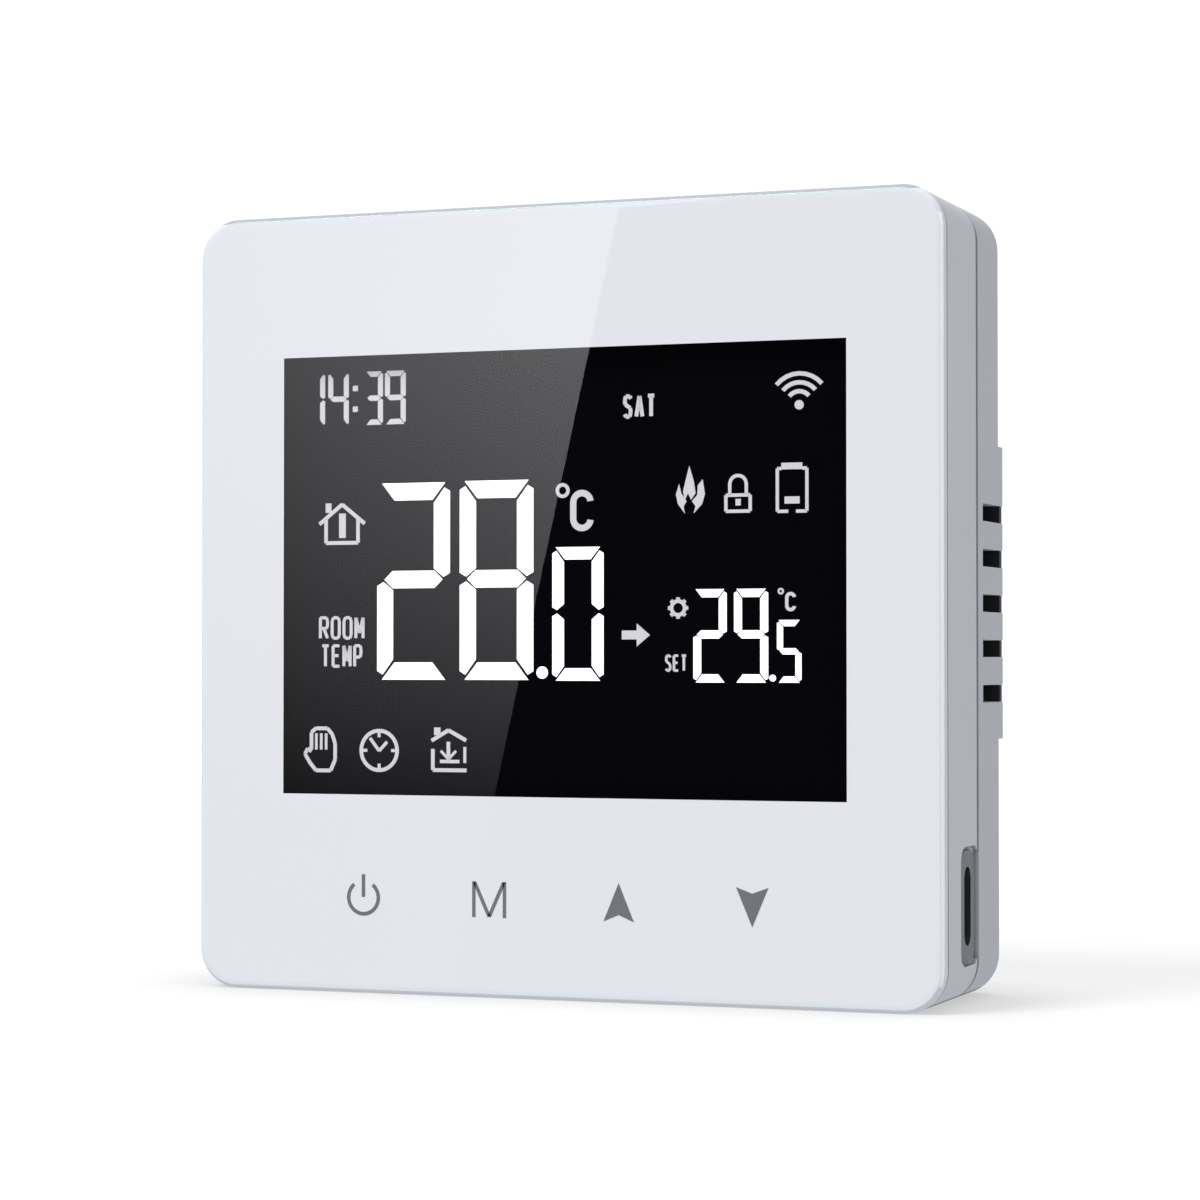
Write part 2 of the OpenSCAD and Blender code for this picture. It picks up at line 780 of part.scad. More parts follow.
module terminal_contacts() {
    blade_w = 2.3;
    tail_w = 1;
    color("gold") stand()
        for (x = terminal_x) {
            block(x - blade_w / 2, x + blade_w / 2, contact_y0, contact_y1, contact_z, contact_z + contact_t);
            block(x - tail_w / 2, x + tail_w / 2, contact_y0, contact_y0 + contact_t,
                relay_board_z0 - pin_tail, contact_z + contact_t);
        }
}

module terminal_cage(n) {
    hole_r = clamp_screw_r + fit_gap;
    color("silver") stand() translate([terminal_x[n - 1], cage_y, cage_z]) difference() {
        block(-cage_size[0] / 2, cage_size[0] / 2, -cage_size[1] / 2, cage_size[1] / 2, 0, cage_size[2]);
        block(-cage_window[0] / 2, cage_window[0] / 2, -cage_size[1], cage_size[1],
            cage_floor, cage_floor + cage_window[1]);
        cylinder(r = hole_r, h = 2 * cage_size[2] + 1);
        translate([0, 0, cage_floor - 0.3]) cylinder(r = hole_r, h = 1);
    }
}

module terminal_screw(n) {
    head_z = ledge_z + ledge_t + 0.05;
    tip_z = contact_z + contact_t + 0.1;
    slot = 0.6;
    slot_depth = 0.7;
    color("silver") stand() translate([terminal_x[n - 1], cage_y, 0]) difference() {
        union() {
            translate([0, 0, tip_z]) cylinder(r = clamp_screw_r, h = head_z - tip_z + 0.1);
            translate([0, 0, head_z]) cylinder(r = clamp_head_r, h = clamp_head_t);
        }
        block(-clamp_head_r - 1, clamp_head_r + 1, -slot / 2, slot / 2,
            head_z + clamp_head_t - slot_depth, head_z + clamp_head_t + 1);
    }
}

// A cell along X. side is +1 with its button to the right and -1 to the left.
module cell(y, side) {
    stand() translate([0, y, cell_z]) mirror([side > 0 ? 0 : 1, 0, 0]) rotate([0, 90, 0]) {
        translate([0, 0, bay_x - cell_l]) cylinder(r = cell_r, h = cell_body_l);
        translate([0, 0, bay_x - nub_l - 0.1]) cylinder(r = nub_r, h = nub_l + 0.1);
    }
}

module battery_cell_lower() {
    color("darkorange") cell(cell_y[0], -1);
}

module battery_cell_upper() {
    color("darkorange") cell(cell_y[1], 1);
}

module battery_springs() {
    room = 2 * bay_x - cell_l;
    foot_r = 3.6;
    top_r = 2;
    turns = 4.5;
    wire_r = 0.3;
    color("silver") stand()
        for (side = [0, 1])
            translate([(1 - 2 * side) * bay_x, cell_y[side], cell_z]) rotate([0, 180 * side - 90, 0])
                coil_spring(foot_r, top_r, room, turns, wire_r);
}

module contact_plate(x, y0, y1) {
    half_w = 4.5;
    block(x, x + contact_plate_t, y0 - half_w, y1 + half_w, rear_wall + 0.2, cell_z + cell_r);
}

module battery_bridge() {
    color("silver") stand() contact_plate(bay_x, cell_y[0], cell_y[1]);
}

module battery_end_plates() {
    color("silver") stand()
        for (y = cell_y) contact_plate(-bay_x - contact_plate_t, y, y);
}

// An insulated lead with straight runs and round bends
module lead(route) {
    d = 1.2;
    for (i = [0:len(route) - 2]) hull() {
        translate(route[i]) sphere(d = d, $fn = 12);
        translate(route[i + 1]) sphere(d = d, $fn = 12);
    }
}

// Runs from a cell's end plate, out to x = -out, down the side and onto the relay board
module battery_lead(cell_at, bend_x, out, bend_y, end_y) {
    start_z = cell_z + cell_r + 0.65;
    end_z = relay_board_z1 + 0.65;
    start_x = bay_x + contact_plate_t / 2;
    end_x = 32;
    stand() lead([[-start_x, cell_at, start_z], [-bend_x, cell_at, start_z], [-out, bend_y[0], 9],
        [-out, bend_y[1], 8], [-end_x, end_y, end_z]]);
}

module battery_lead_plus() {
    color("red") battery_lead(cell_y[0], 31, case_w / 2 - 5.5, [12, -20], -27);
}

module battery_lead_minus() {
    color("black") battery_lead(cell_y[1], 34, case_w / 2 - 3.7, [24, -22], -31);
}

front_glass();
glass_print();
glass_tape();
front_housing();
lcd_polariser();
lcd_glass();
diffuser_sheet();
light_guide();
reflector_sheet();
lcd_frame();
backlight_leds();
lcd_pins();
touch_springs();
main_board();
main_board_screws();
controller_chip();
radio_board();
radio_shield();
buzzer();
clock_crystal();
power_coil();
chip_parts();
temperature_probe();
usb_shell();
usb_tongue();
usb_contacts();
link_header();
link_pins();
rear_cover();
vent_louvres();
relay_board();
relay_board_screws();
relay_case();
relay_pins();
supply_capacitor();
driver_parts();
link_socket();
terminal_block();
terminal_contacts();
terminal_cage(1);  // terminal_cage_1
terminal_cage(2);  // terminal_cage_2
terminal_cage(3);  // terminal_cage_3
terminal_screw(1);  // terminal_screw_1
terminal_screw(2);  // terminal_screw_2
terminal_screw(3);  // terminal_screw_3
battery_cell_lower();
battery_cell_upper();
battery_springs();
battery_bridge();
battery_end_plates();
battery_lead_plus();
battery_lead_minus();
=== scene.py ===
import sys
import logging
import math
from dataclasses import dataclass, field, replace
from enum import Enum, IntEnum

import bmesh
import bpy
from mathutils import Matrix, Vector


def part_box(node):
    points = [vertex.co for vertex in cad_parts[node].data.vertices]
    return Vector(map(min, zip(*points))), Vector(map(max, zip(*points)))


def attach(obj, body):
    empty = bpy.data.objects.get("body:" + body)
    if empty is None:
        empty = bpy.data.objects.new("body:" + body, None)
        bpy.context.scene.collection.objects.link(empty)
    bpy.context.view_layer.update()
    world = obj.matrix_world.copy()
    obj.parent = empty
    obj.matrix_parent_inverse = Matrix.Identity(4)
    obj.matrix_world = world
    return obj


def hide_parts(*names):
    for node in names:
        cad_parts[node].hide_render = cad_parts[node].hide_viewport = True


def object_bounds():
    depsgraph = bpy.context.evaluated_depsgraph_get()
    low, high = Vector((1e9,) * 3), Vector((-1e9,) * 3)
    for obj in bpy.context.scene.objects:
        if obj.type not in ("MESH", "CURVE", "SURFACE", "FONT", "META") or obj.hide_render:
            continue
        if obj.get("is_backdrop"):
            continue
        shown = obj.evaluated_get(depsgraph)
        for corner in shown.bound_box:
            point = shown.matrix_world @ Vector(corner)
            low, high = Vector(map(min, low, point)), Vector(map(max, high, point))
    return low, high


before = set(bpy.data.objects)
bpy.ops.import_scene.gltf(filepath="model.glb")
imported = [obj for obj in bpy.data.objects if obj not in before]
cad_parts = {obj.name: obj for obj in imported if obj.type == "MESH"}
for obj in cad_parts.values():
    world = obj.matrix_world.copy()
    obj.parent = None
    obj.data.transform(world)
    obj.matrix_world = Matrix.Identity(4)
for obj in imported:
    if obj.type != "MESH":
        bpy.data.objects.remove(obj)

LOG = logging.getLogger("wall_thermostat")
MM = 0.001
SMOOTH_ANGLE = math.radians(28)
TOUCH = 1e-7
Point = tuple[float, float]
Tree = bpy.types.NodeTree
BMesh = bmesh.types.BMesh
# What feeds an input: an output, or a node that stands for its first output.
Feed = bpy.types.Node | bpy.types.NodeSocket


def linear(hex_colour: str) -> tuple[float, float, float, float]:
    """Turns an sRGB colour into linear light.

    Args:
        hex_colour: the colour as "#rrggbb".

    Returns:
        Red, green, blue and an alpha of 1.
    """
    parts = [int(hex_colour[i:i + 2], 16) / 255 for i in (1, 3, 5)]
    red, green, blue = (c / 12.92 if c <= 0.04045 else ((c + 0.055) / 1.055) ** 2.4 for c in parts)
    return red, green, blue, 1.0


def add(tree: Tree, kind: str, *values: object, inputs: dict | None = None,
        **settings: object) -> bpy.types.Node:
    """Adds one shader node, with its settings and its inputs.

    Args:
        tree: the node tree that gets the node.
        kind: the node's type, without its ShaderNode.
        *values: its first inputs in order: each a value, or what feeds it.
        inputs: the same for other inputs, by name or number.
        **settings: the node's own properties.

    Returns:
        The new node.
    """
    node = tree.nodes.new("ShaderNode" + kind)
    for key, value in settings.items():
        setattr(node, key, value)
    for name, value in [*enumerate(values), *(inputs or {}).items()]:
        if isinstance(value, bpy.types.Node):
            value = value.outputs[0]
        if isinstance(value, bpy.types.NodeSocket):
            tree.links.new(value, node.inputs[name])
        else:
            node.inputs[name].default_value = value
    return node


def emptied(owner: bpy.types.Material | bpy.types.World) -> Tree:
    """Gives the owner's node tree with nothing in it."""
    owner.use_nodes = True
    owner.node_tree.nodes.clear()
    return owner.node_tree


def linked(name: str, data: bpy.types.ID) -> bpy.types.Object:
    """Puts a mesh, light or camera into the scene as an object.

    Args:
        name: the object's name.
        data: what it shows.

    Returns:
        The object.
    """
    made = bpy.data.objects.new(name, data)
    bpy.context.scene.collection.objects.link(made)
    return made


class Axis(Enum):
    """An axis of the shared frame."""

    X = 0
    Y = 1
    Z = 2


@dataclass(frozen=True)
class Zone:
    """The stretch of one axis, in mm, that keeps a finish's first tone.

    A period repeats the stretch, as on a row of equal parts.
    """

    axis: Axis
    middle: float
    half: float
    period: float = 0.0

    def outside(self, tree: Tree, split: bpy.types.Node) -> Feed:
        """Gives 1 outside the stretch and 0 in it.

        Args:
            tree: the material's tree.
            split: the node that parts the object's coordinates.

        Returns:
            The socket with the mask.
        """
        shifted = add(tree, "Math", split.outputs[self.axis.value], self.middle * MM, operation="SUBTRACT")
        if self.period:
            half = self.period * MM / 2
            shifted = add(tree, "Math", shifted, -half, half, operation="WRAP")
        size = add(tree, "Math", shifted, operation="ABSOLUTE")
        return add(tree, "Math", size, self.half * MM, operation="GREATER_THAN")


@dataclass(frozen=True)
class Tone:
    """A second colour on the same mesh, outside its zones."""

    colour: str
    metallic: float
    roughness: float
    zones: tuple[Zone, ...]


def board_edge(*zones: Zone) -> Tone:
    """Gives the sawn, straw-coloured edge of a board, outside its zones."""
    return Tone("#b9a36a", 0.0, 0.7, zones)


@dataclass(frozen=True)
class Finish:
    """A surface with a fine grain, a little unevenness in colour and uneven gloss."""

    name: str
    colour: str
    roughness: float
    metallic: float = 0.0
    ior: float = 1.5
    grain_mm: float = 0.35
    depth_mm: float = 0.01
    mottle: float = 0.06
    mottle_mm: float = 9.0
    stretch: tuple[float, float, float] = (1.0, 1.0, 1.0)
    tone: Tone | None = None
    coat: float = 0.0
    coat_roughness: float = 0.05
    emission: float = 0.0
    specular: float = 0.5
    # How far ambient occlusion looks for the narrow gaps that get painted shade; 0 paints none.
    crevice_mm: float = 0.0

    # The colour of the painted shade in narrow gaps.
    GAP_SHADE_COLOUR = "#4a4b50"
    # Painted shade in gaps: how open a gap is where the shade is darkest and where it stops, and how dark it
    # gets there and beyond.
    CREVICE = (0.35, 0.78, 0.85, 0.0)
    GLOSS_SPREAD = 0.15
    BUMP = 0.6

    def material(self) -> bpy.types.Material:
        """Makes the node material, or finds it if it is made already.

        Returns:
            The material.
        """
        made = bpy.data.materials.get(self.name)
        if made:
            return made
        made = bpy.data.materials.new(self.name)
        tree = emptied(made)
        made.diffuse_color = linear(self.colour)
        add(tree, "OutputMaterial", self.shader(tree, add(tree, "TexCoord").outputs["Object"]))
        return made

    def noise(self, tree: Tree, vector: Feed, size_mm: float,
              detail: float = 2.0) -> Feed:
        """Adds a noise whose features are of a real size, and gives its value."""
        return add(tree, "TexNoise", inputs={"Vector": vector, "Scale": 1 / (size_mm * MM), "Detail": detail,
                                             "Roughness": 0.55}).outputs["Fac"]

    def blend(self, tree: Tree, share: Feed | float,
              first: object, second: object) -> Feed:
        """Mixes two colours, or sockets that give one; share is how much of the second shows."""
        return add(tree, "Mix", inputs={"Factor": share, 6: first, 7: second}, data_type="RGBA").outputs[2]

    def ground(self, tree: Tree, vector: Feed) -> Feed:
        """Gives the colour with its unevenness.

        Args:
            tree: the material's tree.
            vector: the object's coordinates.

        Returns:
            The colour.
        """
        base = linear(self.colour)
        dark = tuple(c * (1 - 2 * self.mottle) for c in base[:3]) + (1.0,)
        return self.blend(tree, self.noise(tree, vector, self.mottle_mm), base, dark)

    def shaded(self, tree: Tree, colour: Feed) -> Feed:
        """Paints shade into narrow gaps, where little light gets in: darkens the colour where ambient
        occlusion finds the surface closed in.

        Args:
            tree: the material's tree.
            colour: the colour outside the gaps.

        Returns:
            The colour.
        """
        open_share = add(tree, "AmbientOcclusion", inputs={"Distance": self.crevice_mm * MM},
                         samples=8).outputs["AO"]
        closed = add(tree, "MapRange", open_share, *self.CREVICE)
        return self.blend(tree, closed, colour, linear(self.GAP_SHADE_COLOUR))

    def mask(self, tree: Tree, vector: Feed) -> Feed:
        """Gives 1 where the second tone shows.

        Args:
            tree: the material's tree.
            vector: the object's coordinates.

        Returns:
            The mask.
        """
        split = add(tree, "SeparateXYZ", vector)
        masks = [zone.outside(tree, split) for zone in self.tone.zones]
        while len(masks) > 1:
            masks.append(add(tree, "Math", masks.pop(0), masks.pop(0), operation="MAXIMUM"))
        return masks[0]

    def relief(self, tree: Tree, vector: Feed) -> Feed:
        """Gives the normal with the grain on it.

        Args:
            tree: the material's tree.
            vector: the object's coordinates.

        Returns:
            The normal.
        """
        along = add(tree, "Mapping", inputs={"Vector": vector, "Scale": self.stretch})
        height = self.noise(tree, along, self.grain_mm, 3.0)
        return add(tree, "Bump", inputs={"Height": height, "Strength": self.BUMP,
                                          "Distance": self.depth_mm * MM})

    def shader(self, tree: Tree, vector: Feed) -> Feed:
        """Builds the surface.

        Args:
            tree: the material's tree.
            vector: the object's coordinates.

        Returns:
            The shader's output.
        """
        colour = self.ground(tree, vector)
        # Painted shade in narrow gaps.
        if self.crevice_mm:
            colour = self.shaded(tree, colour)
        patches = self.noise(tree, vector, self.mottle_mm / 3)
        gloss = add(tree, "MapRange", patches, 0.0, 1.0, self.roughness * (1 - self.GLOSS_SPREAD),
                    self.roughness * (1 + self.GLOSS_SPREAD))
        inputs = {"Base Color": colour, "Metallic": self.metallic, "Roughness": gloss,
                  "Normal": self.relief(tree, vector)}
        if self.tone:
            mask = self.mask(tree, vector)
            inputs["Base Color"] = self.blend(tree, mask, colour, linear(self.tone.colour))
            for name, first, second in (("Metallic", self.metallic, self.tone.metallic),
                                        ("Roughness", gloss, self.tone.roughness)):
                inputs[name] = add(tree, "Mix", inputs={"Factor": mask, 2: first, 3: second})
        if not self.metallic:
            inputs |= {"IOR": self.ior, "Specular IOR Level": self.specular}
        if self.coat:
            inputs |= {"Coat Weight": self.coat, "Coat Roughness": self.coat_roughness}
        if self.emission:
            inputs |= {"Emission Color": colour, "Emission Strength": self.emission}
        return add(tree, "BsdfPrincipled", inputs=inputs)


@dataclass(frozen=True)
class BackPaintedGlass(Finish):
    """White paint seen through clear glass: a matt colour under a polished coat."""

    def shader(self, tree: Tree, vector: Feed) -> Feed:
        """Builds the paint and the polished glass over it.

        Args:
            tree: the material's tree.
            vector: the object's coordinates.

        Returns:
            The shader's output.
        """
        colour = self.ground(tree, vector)
        gloss = add(tree, "MapRange", self.noise(tree, vector, self.grain_mm), 0.0, 1.0,
                    self.roughness * 0.95, self.roughness * 1.05)
        return add(tree, "BsdfPrincipled", inputs={
            "Base Color": colour, "Roughness": gloss, "Specular IOR Level": 0.0, "IOR": self.ior,
            "Coat Weight": self.coat, "Coat Roughness": self.coat_roughness, "Coat IOR": self.ior})


@dataclass(frozen=True)
class ClearWindow(Finish):
    """Clear glass over the display: it lets the display through and mirrors the room at its front."""

    def shader(self, tree: Tree, vector: Feed) -> Feed:
        """Mixes what shows through with what the front surface mirrors.

        Args:
            tree: the material's tree.
            vector: the object's coordinates.

        Returns:
            The shader's output.
        """
        through = add(tree, "BsdfTransparent", inputs={"Color": self.ground(tree, vector)})
        mirror = add(tree, "BsdfGlossy", inputs={"Color": linear("#ffffff"), "Roughness": self.roughness})
        behind = add(tree, "NewGeometry").outputs["Backfacing"]
        front = add(tree, "Math", 1.0, behind, operation="SUBTRACT")
        fresnel = add(tree, "Fresnel", inputs={"IOR": self.ior})
        share = add(tree, "Math", fresnel, front, operation="MULTIPLY")
        return add(tree, "MixShader", share, through, mirror)


@dataclass(frozen=True)
class SolderMask(Finish):
    """A printed circuit board: copper tracks and filled holes under a green lacquer."""

    track_mm: float = 2.6
    track_width: float = 0.07
    track_colour: str = "#2b7a50"
    track_stretch: tuple[float, float, float] = (1.0, 1.0, 0.32)
    hole_mm: float = 3.1
    hole_radius: float = 0.11
    disorder: float = 0.55
    copper_mm: float = 0.035

    def cells(self, tree: Tree, vector: Feed, size_mm: float,
              feature: str, metric: str) -> Feed:
        """Adds cells of a real size, and gives the distance that feature and metric name."""
        return add(tree, "TexVoronoi", inputs={"Vector": vector, "Scale": 1 / (size_mm * MM),
                                               "Randomness": self.disorder}, feature=feature,
                   distance=metric).outputs["Distance"]

    def tracks(self, tree: Tree, vector: Feed) -> Feed:
        """Gives 1 on the copper tracks, which run mostly straight up and across.

        Args:
            tree: the material's tree.
            vector: the object's coordinates.

        Returns:
            The mask.
        """
        long = add(tree, "VectorMath", vector, self.track_stretch, operation="MULTIPLY")
        near, far = (self.cells(tree, long, self.track_mm, f, "CHEBYCHEV") for f in ("F1", "F2"))
        between = add(tree, "Math", far, near, operation="SUBTRACT")
        return add(tree, "Math", between, self.track_width, operation="LESS_THAN")

    def shader(self, tree: Tree, vector: Feed) -> Feed:
        """Builds the lacquer over the tracks, the tinned holes and the board's raw edge.

        Args:
            tree: the material's tree.
            vector: the object's coordinates.

        Returns:
            The shader's output.
        """
        tracks = self.tracks(tree, vector)
        colour = self.blend(tree, tracks, self.ground(tree, vector), linear(self.track_colour))
        spots = self.cells(tree, vector, self.hole_mm, "F1", "EUCLIDEAN")
        holes = add(tree, "Math", spots, self.hole_radius, operation="LESS_THAN")
        colour = self.blend(tree, holes, colour, linear("#c9ccca"))
        if self.tone:
            colour = self.blend(tree, self.mask(tree, vector), colour, linear(self.tone.colour))
        normal = add(tree, "Bump", inputs={
            "Height": tracks, "Strength": 0.8, "Distance": self.copper_mm * MM})
        return add(tree, "BsdfPrincipled", inputs={
            "Base Color": colour, "Metallic": holes, "Roughness": self.roughness, "IOR": self.ior,
            "Normal": normal})


# Moulded ABS: an even, fine spark-eroded texture that scatters light softly; narrow gaps, such as the parting
# line, get painted shade.
FRONT_ABS = Finish(
    "moulded_white_abs", "#e1e3e7", 0.48, ior=1.54, grain_mm=0.3, depth_mm=0.006, mottle=0.012,
    crevice_mm=1.2)
REAR_ABS = Finish(
    "moulded_white_abs_rear", "#d3d5da", 0.52, ior=1.54, grain_mm=0.35, depth_mm=0.008, mottle=0.016,
    crevice_mm=1.2)
# Back-painted float glass: the paint's white is deep under a mirror-smooth front.
PAINTED_GLASS = BackPaintedGlass(
    "back_painted_float_glass", "#f1f1f5", 0.7, mottle=0.006, mottle_mm=30, coat=0.62,
    coat_roughness=0.015)
# Ground glass edge: the bevel is fine-ground, so it is paler and bluer than the face; the top bevel,
# which faces away from the eye, gets a greyer tone as painted shade.
GROUND_EDGE = Finish(
    "fine_ground_glass_edge", "#f1f4f9", 0.2, ior=1.52, grain_mm=0.12, depth_mm=0.002, mottle=0.01, coat=1.0,
    tone=Tone("#b9bdc4", 0.0, 0.3, (Zone(Axis.Z, -5, 47.48),)))
# Clear float glass: nothing shows of it but what it mirrors.
CLEAR_GLASS = ClearWindow("clear_float_glass", "#fdfdfd", 0.0, mottle=0.004, mottle_mm=40)
# Polariser film: near-black plastic, anti-reflection coated, so that only the glass over it shines.
POLARISER = Finish(
    "coated_polariser_film", "#07070c", 0.3, grain_mm=6, depth_mm=0.0004, mottle=0.05, mottle_mm=20,
    specular=0.0)
# Clear border of the glass outside the paint: paler and bluer than the face.
GLASS_BORDER = BackPaintedGlass(
    "clear_glass_border", "#eef2f8", 0.6, mottle=0.01, mottle_mm=20, coat=0.62, coat_roughness=0.02)
# Lit liquid crystal: the backlight is very even, with a trace of falling off between the lamps.
LIT_DIGIT = Finish(
    "backlit_liquid_crystal", "#ffffff", 0.6, mottle=0.006, mottle_mm=12, emission=1.0, depth_mm=0.001)
LIT_ICON = Finish(
    "backlit_liquid_crystal_icons", "#cfcfd3", 0.6, mottle=0.03, mottle_mm=6, emission=0.36, depth_mm=0.001)
# Screen-printed ink: flat grey with a dry, slightly uneven film.
KEY_INK = Finish(
    "screen_printed_grey_ink", "#77777e", 0.6, grain_mm=0.08, depth_mm=0.002, mottle=0.06, mottle_mm=1.2)
# Liquid crystal glass: dark and polished, with a grey-green sealed rim.
LCD_GLASS = Finish(
    "liquid_crystal_glass", "#1b1f20", 0.08, ior=1.52, grain_mm=2, depth_mm=0.001,
    tone=Tone("#6c7a76", 0.0, 0.3, (Zone(Axis.X, 0, 34.9), Zone(Axis.Z, 2.4, 26.9))))
# Acrylic foam tape: soft, chalky and slightly pitted.
FOAM_TAPE = Finish(
    "acrylic_foam_tape", "#cfd0d2", 0.85, grain_mm=0.15, depth_mm=0.03, mottle=0.08, mottle_mm=1.5)
# Light-spreading polyester film: milky with a silky sheen.
LIGHT_FILM = Finish("polyester_diffuser_film", "#f3f4f2", 0.38, grain_mm=0.06, depth_mm=0.004, mottle=0.02)
# Cast acrylic guide: clear and slightly blue at the edge, with a pattern of fine dots.
LIGHT_GUIDE = Finish(
    "cast_acrylic_light_guide", "#dcebf2", 0.12, ior=1.49, grain_mm=0.5, depth_mm=0.02, mottle=0.03, coat=0.5)
# Glass-filled nylon: a dry black with a faint flow pattern.
BLACK_NYLON = Finish(
    "glass_filled_black_nylon", "#17181a", 0.5, ior=1.53, grain_mm=0.25, depth_mm=0.012, mottle=0.15,
    mottle_mm=4)
# Phosphor-filled lamp: a yellow gel face in a white moulded cup.
LED_BODY = Finish(
    "phosphor_led", "#f2efe4", 0.45, grain_mm=0.2, mottle=0.04, mottle_mm=1,
    tone=Tone("#e8c93c", 0.0, 0.25, (Zone(Axis.X, -34.2, 0.55),)))
# Tin plating: soft satin silver with a faint crystal bloom.
TIN = Finish(
    "tin_plated_brass", "#c6c8c9", 0.32, metallic=1.0, grain_mm=0.3, depth_mm=0.006, mottle=0.1,
    mottle_mm=1.5)
# Hard gold over nickel: a clean warm yellow.
GOLD = Finish(
    "hard_gold_plating", "#e3bc62", 0.22, metallic=1.0, grain_mm=0.2, depth_mm=0.003, mottle=0.08,
    mottle_mm=1)
# Bright zinc on steel: cool and glossy with fine turning marks.
ZINC = Finish(
    "zinc_plated_steel", "#b9bdc2", 0.28, metallic=1.0, grain_mm=0.25, depth_mm=0.006, mottle=0.12,
    mottle_mm=0.8, stretch=(1.0, 5.0, 1.0))
# Nickel on spring steel: drawn wire and stamped strip with lines along them.
NICKEL = Finish(
    "nickel_plated_spring_steel", "#cbc9c2", 0.22, metallic=1.0, grain_mm=0.4, depth_mm=0.005, mottle=0.1,
    mottle_mm=2, stretch=(1.0, 1.0, 6.0))
# Deep-drawn stainless steel: satin grey with lines along the draw.
STAINLESS = Finish(
    "satin_stainless_steel", "#a9abae", 0.3, metallic=1.0, grain_mm=0.3, depth_mm=0.008, mottle=0.1,
    mottle_mm=3, stretch=(0.2, 1.0, 4.0))
# The socket's steel is a darker, duller grey than the other steel.
SOCKET_STEEL = Finish(
    "brushed_socket_steel", "#85878c", 0.36, metallic=1.0, grain_mm=0.25, depth_mm=0.008, mottle=0.1,
    mottle_mm=2, stretch=(1.0, 1.0, 5.0))
# Rolled brass: yellow with slight tarnish.
BRASS = Finish(
    "rolled_brass", "#caa25a", 0.3, metallic=1.0, grain_mm=0.3, depth_mm=0.006, mottle=0.16, mottle_mm=1.4)
# Solder mask: glossy green lacquer, paler and slightly raised over the tracks, with tinned holes.
MAIN_MASK = SolderMask(
    "green_solder_mask", "#1f6a43", 0.3, ior=1.55, tone=board_edge(Zone(Axis.X, 0, 39.46),
                                                                   Zone(Axis.Z, 0, 39.46)))
RELAY_MASK = SolderMask(
    "green_solder_mask_wide_tracks", "#1f6a43", 0.3, ior=1.55, track_mm=6.5, track_width=0.2, hole_mm=4.5,
    tone=board_edge(Zone(Axis.X, 0, 36.46), Zone(Axis.Z, -25.2, 12.76)))
RADIO_MASK = SolderMask(
    "dark_blue_solder_mask", "#142c46", 0.26, ior=1.55, track_mm=1.4, track_colour="#1c3d5f", hole_mm=1.3,
    tone=board_edge(Zone(Axis.X, 20, 8.96), Zone(Axis.Z, 20, 12.71)))
# Transfer-moulded epoxy: charcoal with a sand-blasted skin; the legs are tinned.
CHIP = Finish(
    "moulded_epoxy_chip", "#26272a", 0.62, ior=1.55, grain_mm=0.08, depth_mm=0.008, mottle=0.1,
    tone=Tone("#c4c6c8", 1.0, 0.3, (Zone(Axis.X, -8, 5.01), Zone(Axis.Z, 8, 5.01))))
# Sintered ferrite: dark, slightly sparkling grey.
FERRITE = Finish("sintered_ferrite", "#3a3b3e", 0.55, grain_mm=0.12, depth_mm=0.02, mottle=0.2, mottle_mm=0.6)
# Fired ceramic chips: tan bodies with tinned end caps.
CERAMIC = Finish(
    "fired_ceramic_chip_parts", "#b08d66", 0.5, grain_mm=0.1, depth_mm=0.006, mottle=0.12, mottle_mm=1,
    tone=Tone("#d0d1d0", 1.0, 0.3, (Zone(Axis.X, 6.8, 0.45, 2.6),)))
# Dipped resin bead: glossy black with small sags.
RESIN = Finish("dipped_resin", "#15161a", 0.2, ior=1.54, grain_mm=0.8, depth_mm=0.03, mottle=0.1, mottle_mm=2)
# Moulded PBT: an even black with a soft sheen.
RELAY_BLACK = Finish(
    "moulded_pbt_relay_case", "#1d1e20", 0.42, ior=1.55, grain_mm=0.3, depth_mm=0.01, mottle=0.1, mottle_mm=5)
# Shrink sleeve on an aluminium can: dark blue print with the bare vented top.
CAPACITOR = Finish(
    "shrink_sleeve_on_aluminium", "#22335e", 0.3, ior=1.52, grain_mm=1.2, depth_mm=0.02, mottle=0.08,
    tone=Tone("#c7c9cc", 1.0, 0.35, (Zone(Axis.Y, -5.2, 7.85),)))
# Polyamide terminal block: saturated green with a dry shine.
GREEN_PA = Finish(
    "moulded_green_polyamide", "#2f8a4f", 0.42, ior=1.53, grain_mm=0.3, depth_mm=0.01, mottle=0.06,
    mottle_mm=4)
# Printed film on a steel cell: satin colour with bare crimped ends.
CELL_LOWER = Finish(
    "shrink_film_on_steel_cell", "#2d6f8e", 0.28, grain_mm=2, depth_mm=0.01, mottle=0.06,
    tone=Tone("#c9cbcd", 1.0, 0.28, (Zone(Axis.X, -2.25, 21.4),)))
CELL_UPPER = replace(CELL_LOWER, name="shrink_film_on_steel_cell_flipped",
                     tone=Tone("#c9cbcd", 1.0, 0.28, (Zone(Axis.X, 2.25, 21.4),)))
# Soft PVC insulation: waxy colour with slight dents.
RED_PVC = Finish(
    "red_pvc_insulation", "#a5231f", 0.36, ior=1.53, grain_mm=0.7, depth_mm=0.02, mottle=0.08, mottle_mm=3)
BLACK_PVC = replace(RED_PVC, name="black_pvc_insulation", colour="#1b1b1d", mottle=0.1)

